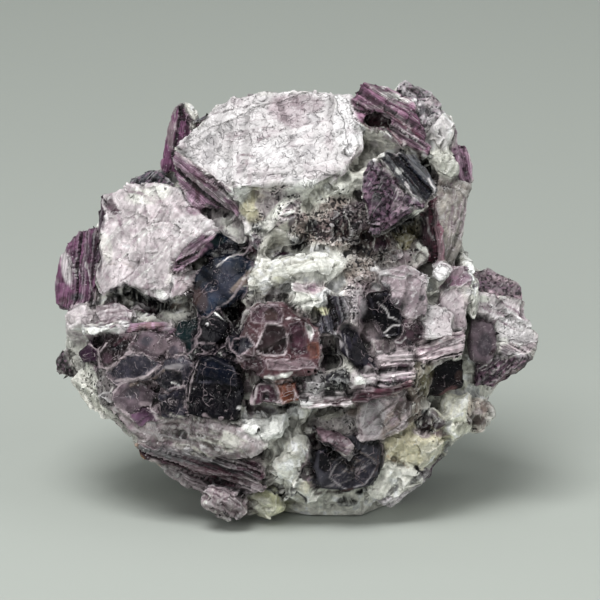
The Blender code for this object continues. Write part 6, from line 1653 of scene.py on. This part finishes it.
class Finish:
    """A material of mica or feldspar, built up node by node."""

    def __init__(self, name, roughness, specular, coat=0.0, coat_roughness=0.15):
        self.material = bpy.data.materials.new(name)
        self.material.use_nodes = True
        self.tree = self.material.node_tree
        self.shader = self.tree.nodes["Principled BSDF"]
        self.shader.inputs["Roughness"].default_value = roughness
        self.shader.inputs["Specular IOR Level"].default_value = specular
        self.shader.inputs["Coat Weight"].default_value = coat
        self.shader.inputs["Coat Roughness"].default_value = coat_roughness
        self.tint = self.read("tint").outputs["Color"]
        self.grain = self.read("grain").outputs["Vector"]
        self.rim = self.read("rim").outputs["Fac"]

    def add(self, kind, inputs, **settings):
        """A node with these settings, and these values or links on its inputs."""
        node = self.tree.nodes.new(kind)
        for key, value in settings.items():
            setattr(node, key, value)
        for key, value in inputs.items():
            if isinstance(value, bpy.types.NodeSocket):
                self.tree.links.new(value, node.inputs[key])
            else:
                node.inputs[key].default_value = value
        return node

    def read(self, name):
        """One of the values kept at the mesh's points."""
        return self.add("ShaderNodeAttribute", {}, attribute_name=name)

    def stretched(self, factors):
        """The grain's coordinates, squeezed or drawn out."""
        node = self.add("ShaderNodeMapping", {"Vector": self.grain, "Scale": factors})
        return node.outputs["Vector"]

    def noise(self, scale, detail=3.0, distortion=0.0, coords=None):
        """Soft noise of 0 to 1."""
        values = {"Vector": coords or self.grain, "Scale": scale, "Detail": detail,
                  "Distortion": distortion}
        return self.add("ShaderNodeTexNoise", values).outputs["Fac"]

    def vector(self, operation, inputs):
        """Arithmetic on vectors or colours."""
        return self.add("ShaderNodeVectorMath", inputs, operation=operation).outputs[0]

    def warped(self, scale, amount):
        """The grain's coordinates, bent by noise."""
        bend = self.add("ShaderNodeTexNoise", {"Vector": self.grain, "Scale": scale, "Detail": 2.0})
        shift = self.vector("SUBTRACT", {0: bend.outputs["Color"], 1: (0.5, 0.5, 0.5)})
        grown = self.vector("SCALE", {0: shift, "Scale": amount})
        return self.vector("ADD", {0: self.grain, 1: grown})

    def cells(self, scale, coords=None, **settings):
        """Angular cells."""
        inputs = {"Vector": coords or self.grain, "Scale": scale}
        return self.add("ShaderNodeTexVoronoi", inputs, **settings).outputs

    def cracks(self, coords, scale, width):
        """1 along thin crooked lines between cells, 0 elsewhere."""
        cells = self.cells(scale, coords, feature="DISTANCE_TO_EDGE")
        return self.ramp(cells["Distance"], width, 0.0)

    def squiggles(self, coords, scale, width):
        """1 along long wandering lines, 0 elsewhere."""
        level = self.noise(scale, 1.5, 0.9, coords)
        away = self.math("ABSOLUTE", self.math("SUBTRACT", level, 0.5), 0.0)
        return self.ramp(away, width, 0.0)

    def specks(self, scale, size):
        """1 in small scattered grains, 0 elsewhere."""
        return self.ramp(self.cells(scale)["Distance"], size, size * 0.6)

    def facets(self, scale, coords=None):
        """A value that differs from grain to grain."""
        colour = self.cells(scale, coords)["Color"]
        return self.add("ShaderNodeSeparateColor", {0: colour}).outputs[0]

    def ramp(self, value, low, high, to_low=0.0, to_high=1.0):
        """The value spread so that low gives to_low and high gives to_high."""
        values = {"Value": value, "From Min": low, "From Max": high, "To Min": to_low,
                  "To Max": to_high}
        return self.add("ShaderNodeMapRange", values, clamp=True).outputs["Result"]

    def patches(self, scale, low, high, to_low=0.0, to_high=1.0):
        """Noise turned into patches with soft borders."""
        return self.ramp(self.noise(scale), low, high, to_low, to_high)

    def vary(self, value, low, high):
        """Noise that runs from one value to another."""
        return self.ramp(value, *NOISE_SPAN, low, high)

    def times(self, first, second):
        """Two values multiplied."""
        return self.math("MULTIPLY", first, second)

    def math(self, operation, first, second):
        """Arithmetic on two values."""
        return self.add("ShaderNodeMath", {0: first, 1: second}, operation=operation).outputs[0]

    def blend(self, share, under, over):
        """One colour laid over another."""
        if isinstance(over, str):
            over = (*tones(over)[0], 1.0)
        values = {0: share, 6: under, 7: over}
        return self.add("ShaderNodeMix", values, data_type="RGBA").outputs[2]

    def bright(self, colour, value):
        """The colour times a value."""
        return self.vector("SCALE", {0: colour, "Scale": value})

    def done(self, colour, height, relief, roughness=None):
        """Ends the material: its colour, the fine relief in mm and how its gloss varies."""
        bump = self.add("ShaderNodeBump", {"Height": height, "Distance": relief * MM})
        self.tree.links.new(colour, self.shader.inputs["Base Color"])
        self.tree.links.new(bump.outputs["Normal"], self.shader.inputs["Normal"])
        if roughness is not None:
            self.tree.links.new(roughness, self.shader.inputs["Roughness"])
        return self.material


def crinkled_silver():
    """Crumpled silvery foil: squiggly wrinkles painted dark as crease shade between bright scales.
    """
    made = Finish("crinkled_silver_mica", 0.35, 0.6, coat=0.12)
    bent = made.warped(0.8, 1.0)
    broken = made.patches(0.9, 0.45, 0.56)
    wide = made.times(made.squiggles(bent, 0.55, 0.03), broken)
    fine = made.squiggles(made.warped(1.7, 0.5), 1.15, 0.035)
    fine = made.times(fine, made.patches(1.3, 0.5, 0.6))
    wrinkle_and_crease_shade = made.math("MAXIMUM", wide, made.times(fine, 0.7))
    colour = made.bright(made.tint, made.vary(made.noise(0.5), 0.82, 1.06))
    # Painted shade: the creases of the wrinkles are painted charcoal; the wrinkles are also bumped.
    colour = made.blend(made.times(wrinkle_and_crease_shade, 0.72), colour, "charcoal")
    # Painted shade: soft lilac-grey patches over the foil.
    lilac_shade = made.ramp(made.noise(0.28, 2.0), 0.56, 0.72, 0.0, 0.5)
    colour = made.blend(lilac_shade, colour, "lilac_grey")
    height = made.math("SUBTRACT", made.noise(1.6, 4.0, 0.6), made.times(wrinkle_and_crease_shade, 0.5))
    gloss = made.vary(made.noise(2.2), 0.22, 0.55)
    return made.done(colour, height, 0.22, gloss)


def pearly_mica():
    """Pearly pale mica: faint cell rims, streaks and a few dark flecks."""
    made = Finish("pearly_mica", 0.32, 0.4, coat=0.12)
    bent = made.warped(0.7, 1.2)
    rims = made.cracks(bent, 0.4, 0.03)
    rims = made.times(rims, made.patches(0.5, 0.4, 0.6))
    streaks = made.noise(1.0, 4.0, 0.4, made.stretched((0.35, 1.9, 1.0)))
    colour = made.bright(made.tint, made.vary(streaks, 0.72, 1.16))
    colour = made.blend(made.ramp(made.noise(0.8, 4.0), 0.55, 0.7, 0.0, 0.45), colour, "mauve")
    colour = made.blend(made.ramp(made.noise(1.1, 4.0, 0.5), 0.6, 0.75, 0.0, 0.6), colour, "bright")
    scales = made.facets(1.7, made.warped(1.1, 0.9))
    colour = made.bright(colour, made.ramp(scales, 0.0, 1.0, 0.76, 1.16))
    colour = made.blend(made.times(rims, 0.3), colour, "bright")
    flecks = made.times(made.specks(1.4, 0.2), made.patches(0.6, 0.5, 0.6))
    colour = made.blend(made.times(flecks, 0.6), colour, "dark_plum")
    height = made.math("ADD", streaks, made.times(rims, 0.4))
    return made.done(colour, height, 0.14, made.vary(made.noise(1.8), 0.2, 0.5))


def glassy_dark(name, specular, crack_scale, crack_width, pale, rim_width, rim_tone, dust):
    """Dark glassy plates: frosted rims, hair-thin pale cracks, scratches, mauve dust and painted
    glints.
    """
    made = Finish(name, 0.16, specular)
    cracks = made.cracks(made.warped(0.55, 1.6), crack_scale, crack_width)
    cracks = made.times(cracks, made.patches(0.45, 0.52, 0.6))
    hairs = made.squiggles(made.warped(0.9, 1.0), 0.5, 0.012)
    hairs = made.times(hairs, made.patches(0.7, 0.5, 0.6, 0.0, 0.8))
    wavering = made.math("ADD", made.rim, made.vary(made.noise(1.1, 4.0), -0.5, 0.5))
    frost = made.ramp(wavering, rim_width, 0.0, 0.0, 0.45)
    edge = made.ramp(made.rim, 0.17, 0.08)
    edge = made.times(edge, made.patches(0.8, 0.32, 0.42))
    lines = made.math("MAXIMUM", made.math("MAXIMUM", cracks, hairs), edge)
    mist = made.ramp(made.noise(1.8, 5.0, 0.6), 0.5, 0.75, 0.0, dust)
    colour = made.bright(made.tint, made.vary(made.noise(0.4, 2.0), 0.4, 1.4))
    colour = made.blend(mist, colour, "ash_mauve")
    colour = made.blend(frost, colour, rim_tone)
    colour = made.blend(made.times(lines, 0.72), colour, pale)
    # Painted glints: small silver specks.
    colour = made.blend(made.times(made.specks(2.0, 0.1), 0.5), colour, "silver")
    height = made.math("ADD", made.noise(1.2, 3.0), made.times(lines, 0.6))
    gloss = made.ramp(made.math("ADD", lines, frost), 0.0, 0.8, 0.12, 0.5)
    return made.done(colour, height, 0.08, gloss)


def plum_mica():
    """Plum to amber mica that looks half clear, with a few pale lines."""
    made = Finish("plum_mica", 0.18, 0.22)
    lines = made.cracks(made.warped(0.5, 1.4), 0.2, 0.01)
    lines = made.times(lines, made.patches(0.5, 0.42, 0.55))
    edge = made.times(made.ramp(made.rim, 0.22, 0.08), made.patches(0.8, 0.4, 0.55))
    lines = made.math("MAXIMUM", lines, edge)
    cloud = made.noise(0.45, 4.0, 0.8)
    colour = made.bright(made.tint, made.vary(cloud, 0.45, 1.5))
    colour = made.blend(made.ramp(made.noise(1.3, 5.0), 0.58, 0.8, 0.0, 0.4), colour, "rose_grey")
    colour = made.blend(made.times(lines, 0.5), colour, "rose_grey")
    height = made.math("ADD", made.noise(1.0, 2.0), made.times(lines, 0.5))
    return made.done(colour, height, 0.07, made.vary(cloud, 0.12, 0.3))


def smoky_mica():
    """Mottled mica: fine dark and pale grains over a purple-grey ground."""
    made = Finish("smoky_mica", 0.4, 0.25)
    mottle = made.noise(1.1, 5.0, 0.5)
    grains = made.facets(2.6)
    colour = made.bright(made.tint, made.vary(mottle, 0.45, 1.5))
    colour = made.blend(made.ramp(grains, 0.72, 0.9, 0.0, 0.35), colour, "lilac")
    colour = made.blend(made.ramp(grains, 0.3, 0.1, 0.0, 0.75), colour, "coal")
    streaks = made.noise(1.8, 4.0, 0.2, made.stretched((0.2, 2.0, 1.0)))
    colour = made.blend(made.ramp(streaks, 0.6, 0.75, 0.0, 0.5), colour, "silver")
    height = made.math("ADD", mottle, made.times(grains, 0.5))
    return made.done(colour, height, 0.25, made.ramp(grains, 0.0, 1.0, 0.2, 0.6))


def split_edges():
    """The split sides of books: long streaks of pale, purple and wine."""
    made = Finish("laminated_mica_edges", 0.36, 0.28)
    streaks = made.noise(2.4, 4.0, 0.3, made.stretched((0.12, 1.7, 1.0)))
    fine = made.noise(4.0, 3.0, 0.2, made.stretched((0.12, 2.4, 1.0)))
    colour = made.bright(made.tint, made.ramp(streaks, 0.32, 0.68, 0.55, 1.45))
    colour = made.bright(colour, made.ramp(fine, 0.54, 0.7, 1.0, 1.5))
    colour = made.blend(made.ramp(fine, 0.6, 0.74, 0.0, 0.25), colour, "rose_white")
    colour = made.blend(made.ramp(fine, 0.44, 0.32, 0.0, 0.6), colour, "maroon")
    glints = made.times(made.specks(2.0, 0.22), made.patches(0.9, 0.5, 0.6))
    colour = made.blend(made.times(glints, 0.4), colour, "bright")
    height = made.math("ADD", streaks, fine)
    return made.done(colour, height, 0.2, made.vary(streaks, 0.25, 0.5))


def feldspar_finish():
    """Pale crumbly feldspar, sugary to fibrous, peppered with dark mica where it is kept."""
    made = Finish("feldspar", 0.55, 0.14)
    pepper = made.read("pepper").outputs["Fac"]
    crumbs = made.noise(1.5, 5.0, 0.4)
    fibres = made.noise(1.6, 4.0, 0.5, made.stretched((1.6, 1.0, 0.5)))
    colour = made.bright(made.tint, made.vary(crumbs, 0.72, 1.16))
    colour = made.blend(made.ramp(fibres, 0.56, 0.72, 0.0, 0.5), colour, "albite_white")
    grains = made.facets(3.4)
    chunks = made.facets(1.6, made.warped(1.1, 0.9))
    colour = made.bright(colour, made.ramp(chunks, 0.0, 1.0, 0.86, 1.1))
    salt = made.times(made.math("SUBTRACT", made.facets(4.6), 0.45), pepper)
    colour = made.bright(colour, made.math("ADD", made.times(salt, 1.3), 1.0))
    mask = made.noise(0.7, 3.0)
    wanted = made.math("SUBTRACT", pepper, 0.08)
    share = made.math("GREATER_THAN", wanted, made.times(grains, 1.5))
    share = made.times(share, made.ramp(mask, 0.38, 0.5))
    colour = made.blend(made.times(share, 0.9), colour, "coal")
    height = made.math("ADD", crumbs, made.times(grains, 0.3))
    return made.done(colour, height, 0.3, made.vary(crumbs, 0.4, 0.7))


def chip_finish():
    """Loose chips of mica: pearly, each one's gloss its own."""
    made = Finish("mica_chips", 0.3, 0.35)
    streaks = made.noise(2.0, 3.0, 0.3)
    colour = made.bright(made.tint, made.vary(streaks, 0.8, 1.2))
    return made.done(colour, streaks, 0.08, made.patches(0.7, 0.35, 0.65, 0.18, 0.5))


def edit_edges(shape, wanted):
    """Selects the edges with two wanted ends and opens the mesh for editing."""
    bpy.ops.object.mode_set(mode="EDIT")
    bpy.ops.mesh.select_mode(type="EDGE")
    bpy.ops.mesh.select_all(action="DESELECT")
    bpy.ops.object.mode_set(mode="OBJECT")
    for edge in shape.data.edges:
        edge.select = all(wanted(shape.data.vertices[i].co) for i in edge.vertices)
    bpy.ops.object.mode_set(mode="EDIT")


def studio():
    """A plain pale ground that curves up behind, four soft lamps and a dim room."""
    bpy.ops.object.select_all(action="DESELECT")
    bpy.ops.mesh.primitive_plane_add(size=GROUND_SIZE, location=(0.0, 0.0, GROUND_LEVEL))
    ground = bpy.context.active_object
    ground.name = "ground"
    edit_edges(ground, lambda end: end.y > GROUND_BACK)
    bpy.ops.mesh.extrude_region_move(TRANSFORM_OT_translate={"value": (0.0, 0.0, WALL_HEIGHT)})
    edit_edges(ground, lambda end: end.y > GROUND_BACK and end.z < WALL_HEIGHT / 2.0)
    bpy.ops.mesh.bevel(offset=CURVE_RADIUS, segments=CURVE_STEPS, affect="EDGES")
    bpy.ops.object.mode_set(mode="OBJECT")
    ground.data.shade_smooth()
    bpy.ops.object.transform_apply(location=True, rotation=True, scale=True)
    paper = bpy.data.materials.new("pale_paper")
    paper.use_nodes = True
    shader = paper.node_tree.nodes["Principled BSDF"]
    shader.inputs["Base Color"].default_value = PAPER_COLOUR
    shader.inputs["Roughness"].default_value = PAPER_ROUGHNESS
    ground.data.materials.append(paper)
    for item in LAMPS:
        lamp(*item)
    world = bpy.data.worlds.new("room")
    bpy.context.scene.world = world
    world.use_nodes = True
    background = world.node_tree.nodes["Background"]
    background.inputs["Color"].default_value = ROOM_COLOUR
    background.inputs["Strength"].default_value = ROOM_STRENGTH


def lamp(name, place, size, power, target):
    """A square soft lamp that shines on a place."""
    light = bpy.data.lights.new(name, "AREA")
    light.energy = power
    light.size = size
    holder = bpy.data.objects.new(name, light)
    bpy.context.scene.collection.objects.link(holder)
    holder.location = place
    aim = Vector(target) - holder.location
    holder.rotation_euler = aim.to_track_quat("-Z", "Y").to_euler()


def camera():
    """The camera where the eye is."""
    lens = bpy.data.cameras.new("camera")
    lens.sensor_width = SENSOR_WIDTH
    lens.lens = lens.sensor_width * EYE_DISTANCE / VIEW_WIDTH
    lens.clip_start = NEAREST_SEEN
    holder = bpy.data.objects.new("camera", lens)
    bpy.context.scene.collection.objects.link(holder)
    turn = Matrix([Vector(RIGHT), Vector(UP), Vector(TOWARDS)]).transposed().to_4x4()
    turn.translation = Vector(EYE) * MM
    holder.matrix_world = turn
    bpy.context.scene.camera = holder
    bpy.context.scene.view_settings.view_transform = "Standard"


def ride(piece):
    """The piece belongs to the stone and stands for its solid."""
    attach(piece, "root")
    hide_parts(STONE)


def build():
    """The whole stone on its ground."""
    studio()
    camera()
    finishes = {
        "foil": ("silvery_faces", crinkled_silver()),
        "pearl": ("pearly_plates", pearly_mica()),
        "night": ("night_plates", glassy_dark(
            "night_mica", 0.1, 0.26, 0.016, "ash_mauve", 0.2, "dull_mauve", 0.04)),
        "cell": ("scale_plates", glassy_dark(
            "scaly_mica", 0.18, 0.34, 0.018, "rose_grey", 0.45, "grey_mauve", 0.22)),
        "plum": ("plum_books", plum_mica()),
        "smoky": ("smoky_books", smoky_mica()),
        "edge": ("split_edges", split_edges()),
        "rock": ("feldspar", feldspar_finish()),
    }
    for kind, name in (
        ("spar", "feldspar_blades"), ("rock_left", "feldspar_left"),
        ("rock_right", "feldspar_right"),
    ):
        finishes[kind] = (name, finishes["rock"][1])
    chance = random.Random(SEEDS["chips"])
    forms = chip_forms(chance)
    chips = chip_finish()
    books = front_books() + rear_books()
    for side, voxel, depth, front, number in (
        ("front", FRONT_VOXEL, SEAM_DEPTH, True, FRONT_CHIPS),
        ("back", BACK_VOXEL, SEAM_DEPTH + SEAM_OVERLAP, False, BACK_CHIPS),
    ):
        skin = half_skin(f"{side}_skin", voxel, depth, front)
        kind_of = dress(skin, books)
        ride(scatter_chips(f"{side}_chips", skin, number, forms, chips, chance))
        for kind, part in parted(skin, kind_of).items():
            name, finish = finishes[kind]
            ride(joined(f"{side}_{name}", [part], finish))
    for form in forms:
        bpy.data.objects.remove(form)


build()
